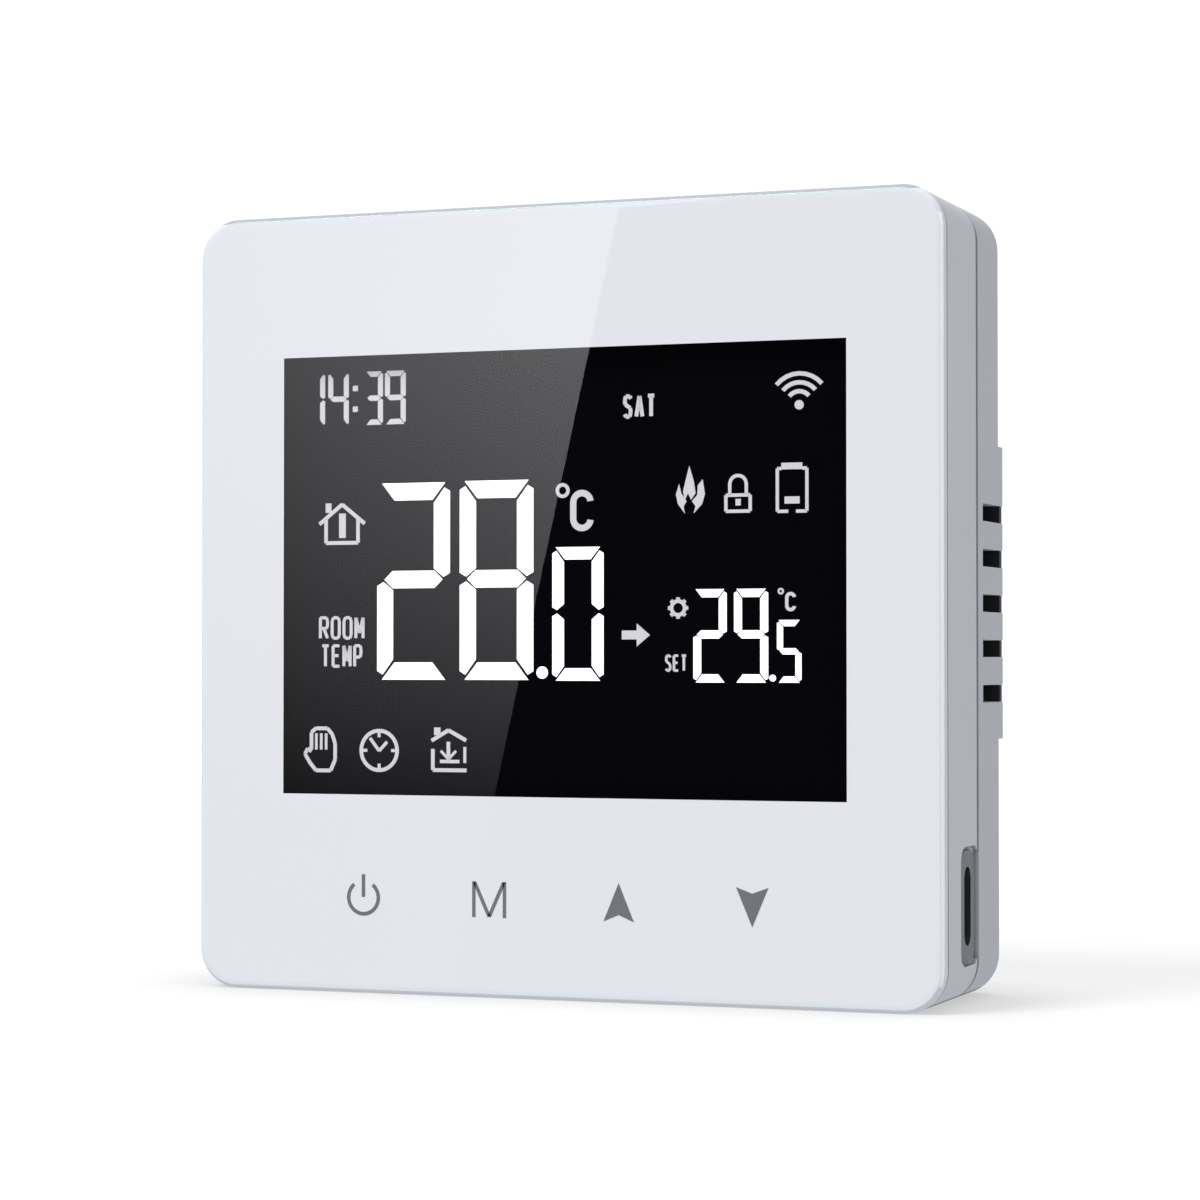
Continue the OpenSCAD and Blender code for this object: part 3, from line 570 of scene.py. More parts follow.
# The finish of each carried-over part.
CARRIED: tuple[tuple[Finish, str], ...] = (
    (FOAM_TAPE, "glass_tape"), (POLARISER, "lcd_polariser"), (LCD_GLASS, "lcd_glass"),
    (LIGHT_FILM, "diffuser_sheet reflector_sheet"), (LIGHT_GUIDE, "light_guide"),
    (LED_BODY, "backlight_leds"), (CHIP, "controller_chip"),
    (BLACK_NYLON, "lcd_frame buzzer usb_tongue link_header vent_louvres link_socket"),
    (TIN, "lcd_pins radio_shield relay_pins"), (GOLD, "touch_springs usb_contacts link_pins"),
    (MAIN_MASK, "main_board"), (RADIO_MASK, "radio_board"), (RELAY_MASK, "relay_board"),
    (ZINC, "main_board_screws relay_board_screws terminal_screw_1 terminal_screw_2 terminal_screw_3"),
    (STAINLESS, "clock_crystal"), (SOCKET_STEEL, "usb_shell"), (FERRITE, "power_coil driver_parts"),
    (CERAMIC, "chip_parts"), (RESIN, "temperature_probe"), (RELAY_BLACK, "relay_case"),
    (CAPACITOR, "supply_capacitor"), (GREEN_PA, "terminal_block"), (BRASS, "terminal_contacts"),
    (NICKEL, "battery_springs battery_bridge battery_end_plates"),
    (NICKEL, "terminal_cage_1 terminal_cage_2 terminal_cage_3"),
    (CELL_LOWER, "battery_cell_lower"), (CELL_UPPER, "battery_cell_upper"), (RED_PVC, "battery_lead_plus"),
    (BLACK_PVC, "battery_lead_minus"),
)


def make_object(name: str, shape: BMesh, finishes: list[Finish]) -> bpy.types.Object:
    """Turns a bmesh into an object at the origin, with smooth curves and crisp edges.

    Args:
        name: the piece's name.
        shape: the bmesh, which is freed.
        finishes: the finishes, in the order of the faces' material numbers.

    Returns:
        The object.
    """
    mesh = bpy.data.meshes.new(name)
    shape.to_mesh(mesh)
    shape.free()
    mesh.shade_smooth()
    mesh.set_sharp_from_angle(angle=SMOOTH_ANGLE)
    for finish in finishes:
        mesh.materials.append(finish.material())
    LOG.info("%s: %d faces", name, len(mesh.polygons))
    return linked(name, mesh)


@dataclass
class Plates:
    """Flat shapes on a plane across Y that become thin closed plates.

    Places are in mm, x to the right and z up, scaled about the middle of the case and then shifted.
    The plates' front and thickness are in metres.
    """

    front: float
    thickness: float
    shift: Point = (0.0, 0.0)
    scale: float = 1.0
    shape: BMesh = field(default_factory=bmesh.new)

    ARC_STEPS = 6
    ARC_ANGLE = 12

    def at(self, point: Point) -> Vector:
        """Gives a layout point's place in metres."""
        x, z = ((c * self.scale + d) * MM for c, d in zip(point, self.shift))
        return Vector((x, self.front, z))

    def polygon(self, points: list[Point]) -> None:
        """Adds one flat outline through the points in order."""
        self.shape.faces.new([self.shape.verts.new(self.at(p)) for p in points])

    def box(self, x0: float, x1: float, z0: float, z1: float) -> None:
        """Adds an upright rectangle from its left, right, lower and upper edge."""
        self.polygon([(x0, z0), (x1, z0), (x1, z1), (x0, z1)])

    def bar(self, start: Point, end: Point, width: float) -> None:
        """Adds a straight stroke.

        Args:
            start: the middle of one end.
            end: the middle of the other end.
            width: the stroke's width.
        """
        along = Vector(end) - Vector(start)
        side = Vector((-along.y, along.x)).normalized() * width / 2
        self.polygon([tuple(Vector(p) + s * side) for p, s in ((start, 1), (start, -1), (end, -1), (end, 1))])

    def path(self, points: list[Point], width: float) -> None:
        """Adds a stroke of this width through several points."""
        for start, end in zip(points, points[1:]):
            self.bar(start, end, width)

    def arc(self, centre: Point, radius: float, width: float, start: float, turn: float) -> None:
        """Adds part of a ring by spinning a short edge.

        Args:
            centre: the ring's centre.
            radius: the middle of the ring's stroke.
            width: the stroke's width.
            start: the angle where it starts, in degrees from +X towards +Z.
            turn: how far it goes, in degrees.
        """
        steps = max(self.ARC_STEPS, round(abs(turn) / self.ARC_ANGLE))
        heading = Vector((math.cos(math.radians(start)), math.sin(math.radians(start))))
        ends = [Vector(centre) + heading * (radius + s * width / 2) for s in (-1, 1)]
        verts = [self.shape.verts.new(self.at(tuple(p))) for p in ends]
        edge = self.shape.edges.new(verts)
        bmesh.ops.spin(self.shape, geom=[*verts, edge], cent=self.at(centre), axis=(0, -1, 0),
                       angle=math.radians(turn), steps=steps, use_merge=turn >= 360)

    def disc(self, centre: Point, radius: float) -> None:
        """Adds a filled circle."""
        turned = Matrix.Translation(self.at(centre)) @ Matrix.Rotation(math.pi / 2, 4, "X")
        bmesh.ops.create_circle(self.shape, cap_ends=True, radius=radius * self.scale * MM, segments=24,
                                matrix=turned)

    def closed(self) -> BMesh:
        """Gives every shape its thickness.

        Returns:
            The bmesh of closed plates, facing outwards.
        """
        bmesh.ops.remove_doubles(self.shape, verts=self.shape.verts[:], dist=TOUCH)
        back = bmesh.ops.extrude_face_region(self.shape, geom=self.shape.faces[:])["geom"]
        moved = [v for v in back if isinstance(v, bmesh.types.BMVert)]
        bmesh.ops.translate(self.shape, verts=moved, vec=(0, self.thickness, 0))
        bmesh.ops.recalc_face_normals(self.shape, faces=self.shape.faces[:])
        return self.shape


@dataclass(frozen=True)
class SevenSegment:
    """One digit of mitred segments. Its corners lie at shares of the stroke, which leave fine gaps."""

    left: float
    right: float
    low: float
    high: float
    stroke: float
    middle: float | None = None

    LIT = {"0": "abcdef", "1": "bc", "2": "abdeg", "3": "abcdg", "4": "bcfg", "5": "acdfg", "8": "abcdefg",
           "9": "abcdfg"}

    def level(self, name: str) -> list[Point]:
        """Gives a level segment's outline.

        Args:
            name: a for the top, d for the bottom or g for the middle.

        Returns:
            Its corners.
        """
        s, x0, x1 = self.stroke, self.left, self.right
        if name == "g":
            z = self.waist()
            return [(x0 + 0.46 * s, z), (x0 + 0.98 * s, z + s / 2), (x1 - 0.98 * s, z + s / 2),
                    (x1 - 0.46 * s, z), (x1 - 0.98 * s, z - s / 2), (x0 + 0.98 * s, z - s / 2)]
        outer, inner = (self.high, self.high - s) if name == "a" else (self.low, self.low + s)
        return [(x0 + 0.3 * s, outer), (x1 - 0.3 * s, outer), (x1 - 1.1 * s, inner), (x0 + 1.1 * s, inner)]

    def upright(self, name: str) -> list[Point]:
        """Gives an upright segment's outline.

        Args:
            name: b or c on the right, e or f on the left.

        Returns:
            Its corners.
        """
        s = self.stroke
        end = self.high if name in "bf" else self.low
        up = 1 if name in "bf" else -1
        waist = self.waist()
        x, inward = (self.right, -1) if name in "bc" else (self.left, 1)
        return [(x, end - up * 0.5 * s), (x + inward * 0.34 * s, end - up * 0.3 * s),
                (x + inward * s, end - up * 1.18 * s), (x + inward * s, waist + up * 0.62 * s),
                (x + inward * 0.4 * s, waist + up * 0.14 * s), (x, waist + up * 0.36 * s)]

    def waist(self) -> float:
        """Gives the height of the middle segment."""
        return (self.low + self.high) / 2 if self.middle is None else self.middle

    def draw(self, plates: Plates, digit: str) -> None:
        """Adds a digit's lit segments to the plates."""
        for name in self.LIT[digit]:
            plates.polygon(self.level(name) if name in "adg" else self.upright(name))


class Letters:
    """Plain capital letters as strokes on a unit square, a share of their pitch apart."""

    GAP = 0.16
    STROKES: dict[str, list[list[Point]]] = {
        "A": [[(0, 0), (0.5, 1), (1, 0)], [(0.22, 0.36), (0.78, 0.36)]],
        "E": [[(1, 1), (0, 1), (0, 0), (1, 0)], [(0, 0.52), (0.85, 0.52)]],
        "M": [[(0, 0), (0, 1), (0.5, 0.25), (1, 1), (1, 0)]],
        "O": [[(0, 0.15), (0.2, 0), (0.8, 0), (1, 0.15), (1, 0.85), (0.8, 1), (0.2, 1), (0, 0.85),
               (0, 0.15)]],
        "P": [[(0, 0), (0, 1), (0.85, 1), (1, 0.85), (1, 0.6), (0.85, 0.45), (0, 0.45)]],
        "R": [[(0, 0), (0, 1), (0.85, 1), (1, 0.85), (1, 0.6), (0.85, 0.48), (0, 0.48)],
              [(0.5, 0.48), (1, 0)]],
        "S": [[(1, 0.88), (0.8, 1), (0.2, 1), (0, 0.82), (0.1, 0.6), (0.9, 0.42), (1, 0.2), (0.8, 0),
               (0.2, 0), (0, 0.12)]],
        "T": [[(0, 1), (1, 1)], [(0.5, 1), (0.5, 0)]],
    }

    @classmethod
    def draw(cls, plates: Plates, word: str, left: float, right: float, low: float, high: float,
             stroke: float) -> None:
        """Adds a short word.

        Args:
            plates: where it is drawn.
            word: the letters.
            left: left edge of the word.
            right: right edge of the word.
            low: foot of the letters.
            high: top of the letters.
            stroke: the strokes' width.
        """
        pitch = (right - left) / (len(word) - cls.GAP)
        width = pitch * (1 - cls.GAP) - stroke
        for i, letter in enumerate(word):
            x0 = left + i * pitch + stroke / 2
            for line in cls.STROKES[letter]:
                plates.path(
                    [(x0 + u * width, low + stroke / 2 + v * (high - low - stroke)) for u, v in line], stroke)


@dataclass(frozen=True)
class Sign:
    """A sign made of strokes, filled boxes, arcs, discs and outlines, in mm.

    A stroke is its width and points; an arc is its centre, radius, width, start and turn.
    """

    strokes: tuple[tuple[float, tuple[Point, ...]], ...] = ()
    boxes: tuple[tuple[float, float, float, float], ...] = ()
    arcs: tuple[tuple[Point, float, float, float, float], ...] = ()
    discs: tuple[tuple[Point, float], ...] = ()
    fills: tuple[tuple[Point, ...], ...] = ()

    def draw(self, plates: Plates) -> None:
        """Adds the sign.

        Args:
            plates: where it is drawn.
        """
        for width, points in self.strokes:
            plates.path(points, width)
        for draw, shapes in ((plates.box, self.boxes), (plates.arc, self.arcs), (plates.disc, self.discs)):
            for shape in shapes:
                draw(*shape)
        for outline in self.fills:
            plates.polygon(outline)


def spokes(centre: Point, count: int, inner: float, outer: float, width: float) -> tuple:
    """Gives short strokes set evenly around a centre.

    Args:
        centre: the middle of the ring.
        count: how many strokes there are.
        inner: where they start, from the middle.
        outer: where they end.
        width: their width.

    Returns:
        The strokes, as a Sign takes them.
    """
    around = [Vector((math.cos(a), math.sin(a))) for a in (i * 2 * math.pi / count for i in range(count))]
    return tuple((width, tuple(tuple(Vector(centre) + way * r) for r in (inner, outer))) for way in around)


# Power, mode, up and down, about the middle of each key.
KEY_SIGNS = (
    Sign(boxes=((-0.21, 0.21, -0.1, 2.4),), arcs=(((0, -0.15), 1.8, 0.42, 128, 284),)),
    Sign(strokes=((0.4, ((-1.8, -1.95), (-1.8, 1.95))), (0.4, ((-1.7, 1.85), (0, -1.85))),
                  (0.4, ((1.8, -1.95), (1.8, 1.95))), (0.4, ((1.7, 1.85), (0, -1.85))))),
    Sign(fills=(((-1.75, -2.0), (0, -1.25), (1.75, -2.0), (0, 2.15)),)),
    Sign(fills=(((-1.8, 2.05), (0, -2.15), (1.8, 2.05), (0, 1.4)),)),
)
LINE = 0.42
CLOCK_MIDDLE = (-20.9, -16.33)
WAVE_CENTRE = (27.46, 20.35)
GEAR_MIDDLE = (13.98, -0.88)
LOCK_LINE, BATTERY_LINE = LINE * 0.86, LINE * 0.84
DISPLAY_SIGNS: dict[str, Sign] = {
    "colon": Sign(boxes=tuple((-24.15, -23.55, z - 0.3, z + 0.3) for z in (21.3, 23.6))),
    "room_degree": Sign(((0.7, ((2.02, 10.54), (2.02, 8.78))),),
                        arcs=(((0.79, 11.85), 0.62, 0.38, 0, 360), ((3.02, 10.54), 1.0, 0.7, 8, 172),
                              ((3.02, 8.78), 1.0, 0.7, 180, 172))),
    "set_degree": Sign(((0.36, ((26.08, 0.14), (26.08, -0.7))),),
                       arcs=(((25.42, 0.82), 0.25, 0.2, 0, 360), ((26.5, 0.14), 0.42, 0.36, 8, 172),
                             ((26.5, -0.7), 0.42, 0.36, 180, 172))),
    "room_house": Sign(((LINE, ((-28.2, 8.65), (-25.45, 10.8), (-22.7, 8.65))),
                        (LINE, ((-27.4, 9.2), (-27.4, 6.55), (-23.5, 6.55), (-23.5, 9.2)))),
                       ((-27.45, -26.75, 9.9, 10.95), (-25.8, -25.0, 7.1, 9.8))),
    "saving_house": Sign(((LINE, ((-14.6, -15.2), (-12.6, -14.05), (-10.5, -15.15))),
                          (LINE, ((-14.45, -16.1), (-14.45, -18.4), (-10.45, -18.4))),
                          (LINE * 0.8, ((-10.65, -15.85), (-10.65, -17.6))),
                          (LINE, ((-12.6, -15.3), (-12.6, -17.4))),
                          (LINE * 0.7, ((-13.5, -16.3), (-12.6, -17.2), (-11.7, -16.3))),
                          (LINE * 0.9, ((-13.6, -17.45), (-11.3, -17.45)))),
                         ((-14.3, -13.55, -14.6, -13.75),)),
    "manual_hand": Sign((
        (LINE, ((-29.15, -16.3), (-29.15, -14.4), (-28.6, -13.95), (-27.2, -13.95), (-26.6, -14.6),
                (-26.25, -15.6), (-26.25, -17.4), (-26.8, -18.6), (-28.6, -18.6), (-29.3, -17.8),
                (-29.95, -16.8), (-29.6, -16.2), (-29.15, -16.5))),
        *((LINE * 0.72, ((x, -14.5), (x, -16.3))) for x in (-28.55, -27.95, -27.35)))),
    "programme_clock": Sign((*spokes(CLOCK_MIDDLE, 4, 1.45, 1.95, LINE * 0.8),
                             (LINE * 0.85, ((-22.0, -14.98), (-20.9, -16.38), (-19.95, -15.38)))),
                            arcs=((CLOCK_MIDDLE, 2.17, LINE, 0, 360),)),
    "wireless": Sign(discs=((WAVE_CENTRE, 0.5),),
                     arcs=tuple((WAVE_CENTRE, radius, 0.46, 41, 98) for radius in (1.42, 2.36, 3.3))),
    "heating_flame": Sign(fills=(
        ((15.25, 14.2), (15.75, 12.6), (15.95, 11.3), (15.45, 10.6), (15.1, 11.3), (14.75, 10.6),
         (14.55, 11.5), (14.85, 12.7)),
        ((16.75, 12.75), (17.0, 11.2), (16.7, 10.15), (15.75, 9.15), (15.95, 9.9), (15.55, 10.45),
         (16.15, 11.1), (16.2, 12.1)),
        ((14.1, 12.3), (14.35, 11.3), (14.95, 10.45), (14.6, 9.9), (14.75, 9.15), (13.95, 10.2),
         (13.75, 11.2)))),
    "key_lock": Sign(((LOCK_LINE, ((19.35, 11.0), (22.05, 11.0), (22.05, 9.3), (19.35, 9.3), (19.35, 11.0))),
                      *((LOCK_LINE, ((x, 12.15), (x, 11.0))) for x in (19.78, 21.62))),
                     ((20.42, 21.0, 9.9, 10.6),), (((20.7, 12.15), 0.92, LOCK_LINE, 0, 180),)),
    "low_battery": Sign(((BATTERY_LINE, ((26.25, 9.2), (25.05, 9.2), (25.05, 13.7), (25.5, 13.7))),
                         (BATTERY_LINE, ((27.1, 9.2), (28.3, 9.2), (28.3, 13.7), (27.8, 13.7)))),
                        ((25.5, 27.8, 13.6, 14.3), (25.85, 27.5, 10.0, 10.75))),
    "set_gear": Sign(spokes(GEAR_MIDDLE, 8, 0.85, 1.14, 0.4), arcs=((GEAR_MIDDLE, 0.74, 0.4, 0, 360),)),
    "set_arrow": Sign(fills=(((7.6, -4.2), (9.3, -4.2), (9.3, -4.95), (10.8, -3.74), (9.3, -2.5),
                              (9.3, -3.25), (7.6, -3.25)),)),
}


class Part(IntEnum):
    """The surfaces of the front panel, by their material number."""

    PAINT = 0
    EDGE = 1
    CLEAR = 2
    BORDER = 3


@dataclass
class FrontPanel:
    """The bevelled glass, painted white behind except for the window, with its key marks."""

    corner: float = 4.5 * MM
    corner_steps: int = 14
    chamfer: float = 0.4 * MM
    arris: float = 0.05 * MM
    border: float = 0.55 * MM
    ink: float = 0.02 * MM
    ink_share: float = 0.9
    film_margin: float = 1.5 * MM
    clear_room: float = 1.4 * MM
    flat: float = 0.999
    sharp: float = math.radians(30)
    key_pitch: float = 15.0
    key_height: float = -32.4
    mark_shift: Point = (-0.26, 0.05)

    @property
    def front(self) -> float:
        """Gives Y of the glass face, one ink thickness behind the front of the part."""
        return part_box("front_glass")[0].y + self.ink

    def window(self) -> tuple[float, float, float, float]:
        """Gives the window's left, right, lower and upper edges in metres."""
        low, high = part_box("lcd_polariser")
        m = self.film_margin
        return low.x + m, high.x - m, low.z + m, high.z - m

    def slab(self) -> BMesh:
        """Shapes the glass: a block with round corners, a flat bevel and softened arrises.

        Returns:
            The bmesh.
        """
        low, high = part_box("front_glass")
        low.y = self.front
        shape = bmesh.new()
        placed = Matrix.Translation((low + high) / 2) @ Matrix.Diagonal((*(high - low), 1))
        bmesh.ops.create_cube(shape, size=1, matrix=placed)
        upright = [e for e in shape.edges if abs(e.verts[0].co.y - e.verts[1].co.y) > MM]
        self.round(shape, upright, self.corner, self.corner_steps)
        rim = [e for e in shape.edges if all(abs(v.co.y - self.front) < TOUCH for v in e.verts)]
        self.round(shape, rim, self.chamfer, 1)
        sharp = [e for e in shape.edges if len(e.link_faces) == 2 and e.calc_face_angle(0) > self.sharp
                 and all(v.co.y < high.y - 10 * TOUCH for v in e.verts)]
        self.round(shape, sharp, self.arris, 2)
        return shape

    @staticmethod
    def round(shape: BMesh, edges: list, offset: float, segments: int) -> None:
        """Bevels some edges by an offset in metres, in this many steps."""
        bmesh.ops.bevel(shape, geom=edges, offset=offset, offset_type="OFFSET", segments=segments,
                        profile=0.5, affect="EDGES", material=-1, clamp_overlap=False)

    def cut(self, shape: BMesh, margin: float) -> None:
        """Cuts the window's outline through the slab.

        Args:
            shape: the slab.
            margin: how far outside the window the cuts run.
        """
        x0, x1, z0, z1 = self.window()
        for point, normal in (((x0 - margin, 0, 0), (1, 0, 0)), ((x1 + margin, 0, 0), (1, 0, 0)),
                              ((0, 0, z0 - margin), (0, 0, 1)), ((0, 0, z1 + margin), (0, 0, 1))):
            geometry = shape.verts[:] + shape.edges[:] + shape.faces[:]
            bmesh.ops.bisect_plane(shape, geom=geometry, dist=TOUCH, plane_co=point, plane_no=normal)

    def glass(self) -> None:
        """Builds the glass with its surfaces: paint, ground edge, clear window and clear border."""
        shape = self.slab()
        front = [f for f in shape.faces if f.normal.y < -self.flat]
        bmesh.ops.inset_region(shape, faces=front, thickness=self.border, use_even_offset=True)
        for face in shape.faces:
            if face.normal.y < -self.flat and face not in front:
                face.material_index = Part.BORDER
        self.cut(shape, 0.0)
        self.cut(shape, self.clear_room)
        bmesh.ops.recalc_face_normals(shape, faces=shape.faces[:])
        x0, x1, z0, z1 = self.window()
        for face in shape.faces:
            middle = face.calc_center_median()
            room = 0.0 if face.normal.y < 0 else self.clear_room
            clear = x0 - room < middle.x < x1 + room and z0 - room < middle.z < z1 + room
            if face.material_index != Part.BORDER:
                kind = Part.CLEAR if clear else Part.PAINT
                face.material_index = Part.EDGE if abs(face.normal.y) < self.flat else kind
        panel = make_object("front_panel", shape, [PAINTED_GLASS, GROUND_EDGE, CLEAR_GLASS, GLASS_BORDER])
        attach(panel, "front_unit")
        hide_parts("front_glass", "glass_print")

    def marks(self) -> None:
        """Prints the four key marks: power, M, up and down."""
        plates = Plates(self.front - self.ink, self.ink * self.ink_share)
        for i, sign in enumerate(KEY_SIGNS):
            middle = (i - (len(KEY_SIGNS) - 1) / 2) * self.key_pitch
            plates.shift = (middle + self.mark_shift[0], self.key_height + self.mark_shift[1])
            sign.draw(plates)
        marks = make_object("key_marks", plates.closed(), [KEY_INK])
        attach(marks, "front_unit")

    def build(self) -> None:
        """Builds the glass and its marks."""
        self.glass()
        self.marks()


@dataclass
class Display:
    """The lit digits and icons, on the polariser behind the window."""

    proud: float = 0.09 * MM
    thickness: float = 0.08 * MM
    shift: Point = (-0.68, 0.03)
    scale: float = 1.005

    # Each digit's left, right, foot, top and stroke, and the height of its waist where it isn't the middle.
    DIGITS = (("2", -21.15, -12.45, -8.55, 13.02, 1.9, 2.43), ("8", -11.26, -2.62, -8.55, 13.1, 1.9, 2.43),
              ("0", -0.4, 5.5, -8.62, 5.75, 1.34, -1.2), ("2", 15.7, 19.42, -8.78, 1.1, 0.87, -3.7),
              ("9", 20.25, 24.02, -8.78, 1.1, 0.87, -3.7), ("5", 25.0, 27.68, -8.78, -2.2, 0.66))
    POINTS = Sign(discs=(((-1.58, -7.75), 0.66), ((24.52, -8.3), 0.36)))
    TIME = (("1", -30.6, -27.55), ("4", -27.15, -24.65), ("3", -22.65, -20.5), ("9", -20.25, -17.75))
    TIME_SIZES = (19.52, 25.42, 0.6)
    # Each word's left, right, foot, top and stroke.
    WORDS = (("ROOM", -28.25, -22.7, -4.15, -1.55, 0.34), ("TEMP", -28.0, -22.95, -7.25, -4.65, 0.34),
             ("SAT", 7.72, 11.5, 19.4, 22.0, 0.42), ("SET", 12.5, 15.0, -7.65, -5.8, 0.27))

    def plates(self) -> Plates:
        """Gives an empty layer just in front of the polariser."""
        return Plates(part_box("lcd_polariser")[0].y - self.proud, self.thickness, self.shift, self.scale)

    def digits(self) -> Plates:
        """Draws the room temperature and the set temperature.

        Returns:
            The layer.
        """
        layer = self.plates()
        for digit, *sizes in self.DIGITS:
            SevenSegment(*sizes).draw(layer, digit)
        self.POINTS.draw(layer)
        return layer

    def icons(self) -> Plates:
        """Draws the time, the signs and the words.

        Returns:
            The layer.
        """
        layer = self.plates()
        for digit, left, right in self.TIME:
            SevenSegment(left, right, *self.TIME_SIZES).draw(layer, digit)
        for sign in DISPLAY_SIGNS.values():
            sign.draw(layer)
        for word, *sizes in self.WORDS:
            Letters.draw(layer, word, *sizes)
        return layer

    def build(self) -> None:
        """Builds the two lit layers."""
        for name, layer, finish in (("display_digits", self.digits(), LIT_DIGIT),
                                    ("display_icons", self.icons(), LIT_ICON)):
            piece = make_object(name, layer.closed(), [finish])
            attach(piece, "front_unit")


@dataclass
class Shell:
    """A moulded half of the case: the exact part with its sharp edges broken, as a mould leaves them."""

    node: str
    name: str
    body: str
    finish: Finish
    edge: float = 0.14 * MM
    steps: int = 2
    sharp: float = math.radians(34)
    facet: float = math.radians(0.3)

    def build(self) -> None:
        """Copies the part, joins its facets into whole faces and softens its edges."""
        shape = bmesh.new()
        shape.from_mesh(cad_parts[self.node].data)
        bmesh.ops.remove_doubles(shape, verts=shape.verts[:], dist=10 * TOUCH)
        bmesh.ops.dissolve_limit(shape, angle_limit=self.facet, verts=shape.verts[:], edges=shape.edges[:])
        piece = make_object(self.name, shape, [self.finish])
        for polygon in piece.data.polygons:
            polygon.material_index = 0
        stale = piece.data.attributes.get("custom_normal")
        if stale:
            piece.data.attributes.remove(stale)
        bevel = piece.modifiers.new("broken_edges", "BEVEL")
        bevel.width = self.edge
        bevel.segments = self.steps
        bevel.limit_method = "ANGLE"
        bevel.angle_limit = self.sharp
        bevel.harden_normals = True
        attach(piece, self.body)
        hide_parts(self.node)


@dataclass
class Studio:
    """A white room: a soft sun from the left, a bright floor, one tall panel and the camera."""

    eye: Vector = field(default_factory=lambda: Vector((130.362, -351.119, -6.597)) * MM)
    aim: Vector = field(default_factory=lambda: Vector((0.41, -12.75, 0.275)) * MM)
    lens: float = 97.86
    sun_angles: Point = (-35.0, 50.0)
    sun_strength: float = 2.08
    sun_spread: float = 25.0
    floor_box: tuple[float, float, float, float] = (-0.7, 0.7, -0.42, 0.8)
    floor_glow: float = 0.75
    backdrop: float = 1.08
    room_light: float = 0.59
    panel_glow: float = 2.8
    edge_glow: float = 3.0
    # How far the floor's painted contact shadow reaches, and the share of the glow left where it is darkest.
    painted_shadow_reach: float = 0.016
    painted_shadow_share: float = 0.7
    clip: Point = (0.01, 20.0)
    dark_side: Vector = field(default_factory=lambda: Vector((-0.38, -0.92, 0.0)).normalized())
    dark_cone: Point = (0.95, 0.6)
    dark_light: float = 0.02
    panel_corners: tuple[Point, ...] = ((-0.46, -0.13), (-0.2275, -0.13), (-0.149, 0.213), (-0.46, 0.213))
    panel_y: float = -0.5
    fades: tuple[tuple[int, float, float, float], ...] = ((0, -0.31, -0.19, 0.42), (2, -0.042, 0.077, 0.13))
    card_feet: tuple[Point, Point] = ((0.84, -0.03), (0.72, -0.36))
    card_half: float = 0.5

    def camera(self) -> None:
        """Sets the camera."""
        data = bpy.data.cameras.new("camera")
        data.lens = self.lens
        data.clip_start, data.clip_end = self.clip
        camera = linked("camera", data)
        camera.location = self.eye
        camera.rotation_euler = (self.aim - self.eye).to_track_quat("-Z", "Y").to_euler()
        bpy.context.scene.camera = camera

    def sun(self) -> None:
        """Sets the soft key light."""
        data = bpy.data.lights.new("key_light", "SUN")
        data.energy = self.sun_strength
        data.angle = math.radians(self.sun_spread)
        around, up = (math.radians(a) for a in self.sun_angles)
        towards = Vector((math.sin(around) * math.cos(up), -math.cos(around) * math.cos(up), math.sin(up)))
        linked("key_light", data).rotation_euler = towards.to_track_quat("Z", "Y").to_euler()

    def room(self) -> None:
        """Sets the room: white to the eye, and dim as a light."""
        world = bpy.data.worlds.new("white_room")
        bpy.context.scene.world = world
        tree = emptied(world)
        path = add(tree, "LightPath")
        towards = add(tree, "TexCoord").outputs["Generated"]
        across = add(tree, "VectorMath", towards, self.dark_side, operation="DOT_PRODUCT").outputs[1]
        inner, outer = self.dark_cone
        mirrored = add(tree, "MapRange", across, inner, outer, self.dark_light, self.room_light)
        light = add(tree, "Mix", inputs={
            "Factor": path.outputs["Is Glossy Ray"], 2: self.room_light, 3: mirrored})
        glow = add(tree, "Mix", inputs={"Factor": path.outputs["Is Camera Ray"], 2: light, 3: self.backdrop})
        back = add(tree, "Background", inputs={"Color": linear("#f9fbff"), "Strength": glow})
        add(tree, "OutputWorld", back)

    def floor(self) -> None:
        """Lays the pale, glowing floor under the part, with a painted contact shadow where it is close to the
        part.
        """
        x0, x1, y0, y1 = self.floor_box
        low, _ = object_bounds()
        shape = bmesh.new()
        placed = Matrix.Translation(((x0 + x1) / 2, (y0 + y1) / 2, low.z)) @ Matrix.Diagonal(
            ((x1 - x0) / 2, (y1 - y0) / 2, 1, 1))
        bmesh.ops.create_grid(shape, x_segments=4, y_segments=4, size=1, matrix=placed)
        paper = Finish("matt_white_paper", "#8c8c8c", 0.9, grain_mm=0.8, depth_mm=0.01, mottle=0.0)
        floor = make_object("floor", shape, [paper])
        tree = floor.data.materials[0].node_tree
        shader = next(n for n in tree.nodes if n.type == "BSDF_PRINCIPLED")
        shader.inputs["Emission Color"].default_value = linear("#ffffff")
        # Painted contact shadow: the glow dims where ambient occlusion finds the part close by.
        open_share = add(tree, "AmbientOcclusion", inputs={"Distance": self.painted_shadow_reach},
                         samples=16).outputs["AO"]
        shaded = self.floor_glow * self.painted_shadow_share
        glow = add(tree, "MapRange", open_share, 0.4, 1.0, shaded, self.floor_glow)
        tree.links.new(glow.outputs[0], shader.inputs["Emission Strength"])
        shader.inputs["Specular IOR Level"].default_value = 0.0
        floor.visible_diffuse = False
        floor.visible_glossy = False
        floor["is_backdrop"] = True

    def panel(self) -> None:
        """Hangs the tall light panel whose edge shows in the glass as a slanting line."""
        corners = [(x, self.panel_y, z) for x, z in self.panel_corners]
        self.hang("light_panel", corners, self.panel_glow, self.fades)

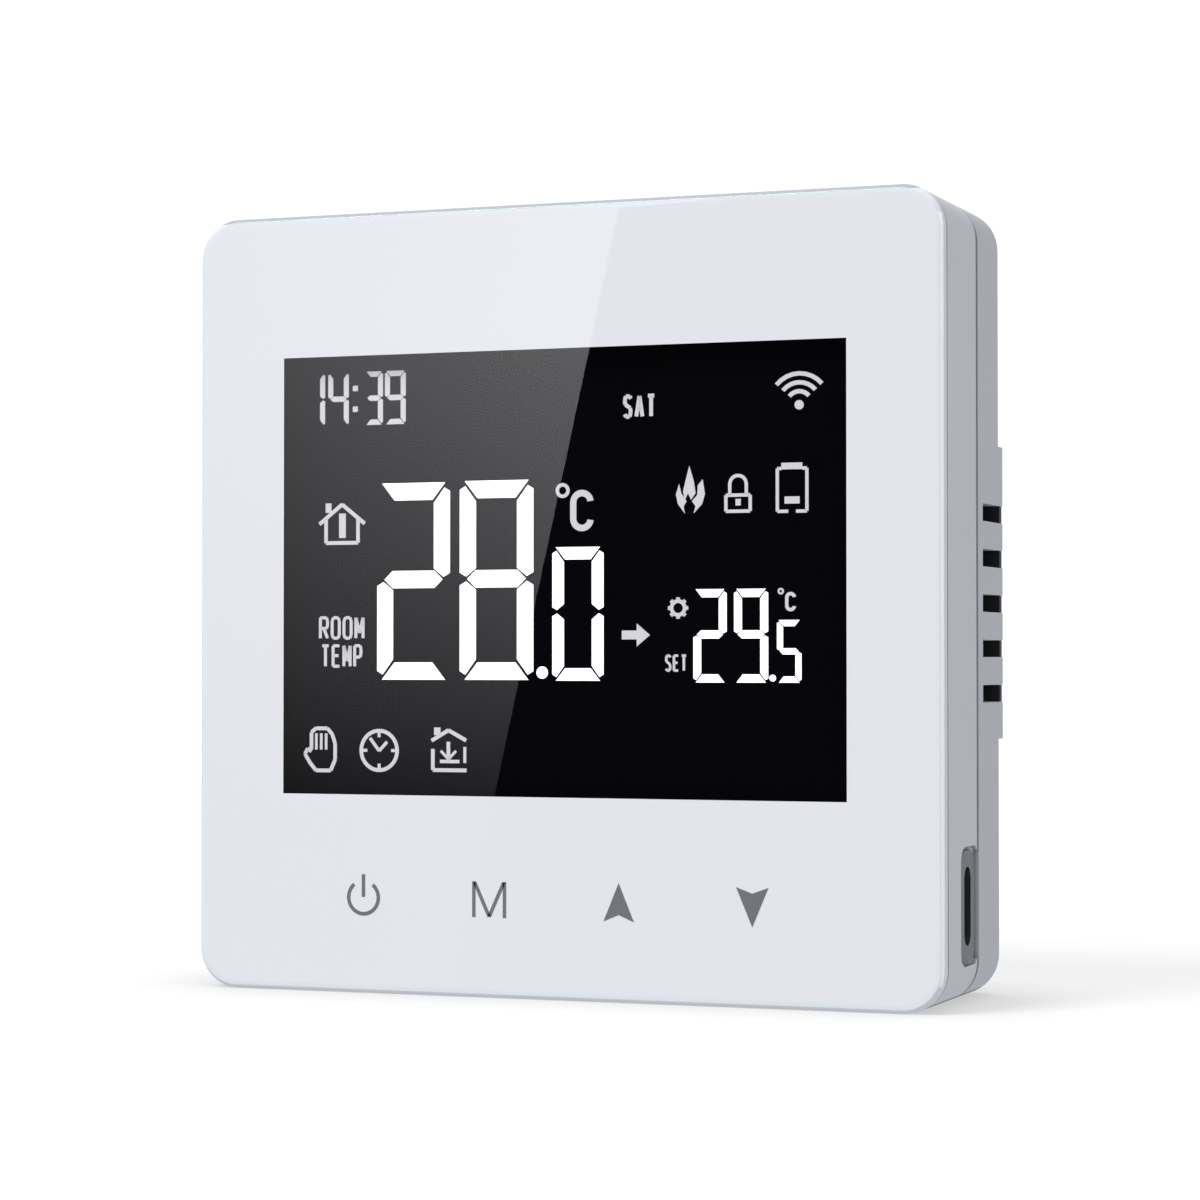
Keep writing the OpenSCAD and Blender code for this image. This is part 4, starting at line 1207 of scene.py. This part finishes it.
    def edge_card(self) -> None:
        """Stands a bright card far to the right, which only the glass bevel mirrors."""
        (x0, y0), (x1, y1) = self.card_feet
        h = self.card_half
        self.hang("edge_card", [(x0, y0, -h), (x1, y1, -h), (x1, y1, h), (x0, y0, h)], self.edge_glow)

    @staticmethod
    def hang(name: str, corners: list[tuple[float, float, float]], strength: float,
             fades: tuple[tuple[int, float, float, float], ...] = ()) -> None:
        """Makes a glowing card that only shows in mirror-like surfaces.

        Args:
            name: the card's name.
            corners: its corners in order.
            strength: how bright it is.
            fades: where it dims: an axis, the dim and the bright place along it, and how dim.
        """
        shape = bmesh.new()
        shape.faces.new([shape.verts.new(c) for c in corners])
        mesh = bpy.data.meshes.new(name)
        shape.to_mesh(mesh)
        shape.free()
        card = bpy.data.materials.new(name)
        tree = emptied(card)
        power: float | Feed = strength
        split = add(tree, "SeparateXYZ", add(tree, "TexCoord").outputs["Object"])
        for axis, start, end, dim in fades:
            share = add(tree, "MapRange", split.outputs[axis], start, end, dim, 1.0)
            power = add(tree, "Math", power, share, operation="MULTIPLY")
        add(tree, "OutputMaterial", add(tree, "Emission", linear("#fbfbff"), power))
        mesh.materials.append(card)
        hung = linked(name, mesh)
        hung.visible_camera = False
        hung.visible_diffuse = False
        hung.visible_shadow = False
        hung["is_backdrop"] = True

    def build(self) -> None:
        """Sets the whole studio."""
        bpy.context.scene.view_settings.view_transform = "Standard"
        self.camera()
        self.sun()
        self.room()
        self.floor()
        self.panel()
        self.edge_card()


def dress_carried() -> None:
    """Gives every carried-over part its finish."""
    for finish, names in CARRIED:
        for name in names.split():
            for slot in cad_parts[name].material_slots:
                slot.material = finish.material()
            LOG.info("%s: %s", name, finish.name)


def main() -> None:
    """Builds the studio, the case, the glass and the display."""
    logging.basicConfig(level=logging.INFO, format="%(name)s %(message)s", stream=sys.stdout)
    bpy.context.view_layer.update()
    Studio().build()
    dress_carried()
    Shell("front_housing", "front_shell", "front_unit", FRONT_ABS).build()
    Shell("rear_cover", "rear_shell", "base", REAR_ABS).build()
    FrontPanel().build()
    Display().build()


if __name__ == "__main__":
    main()
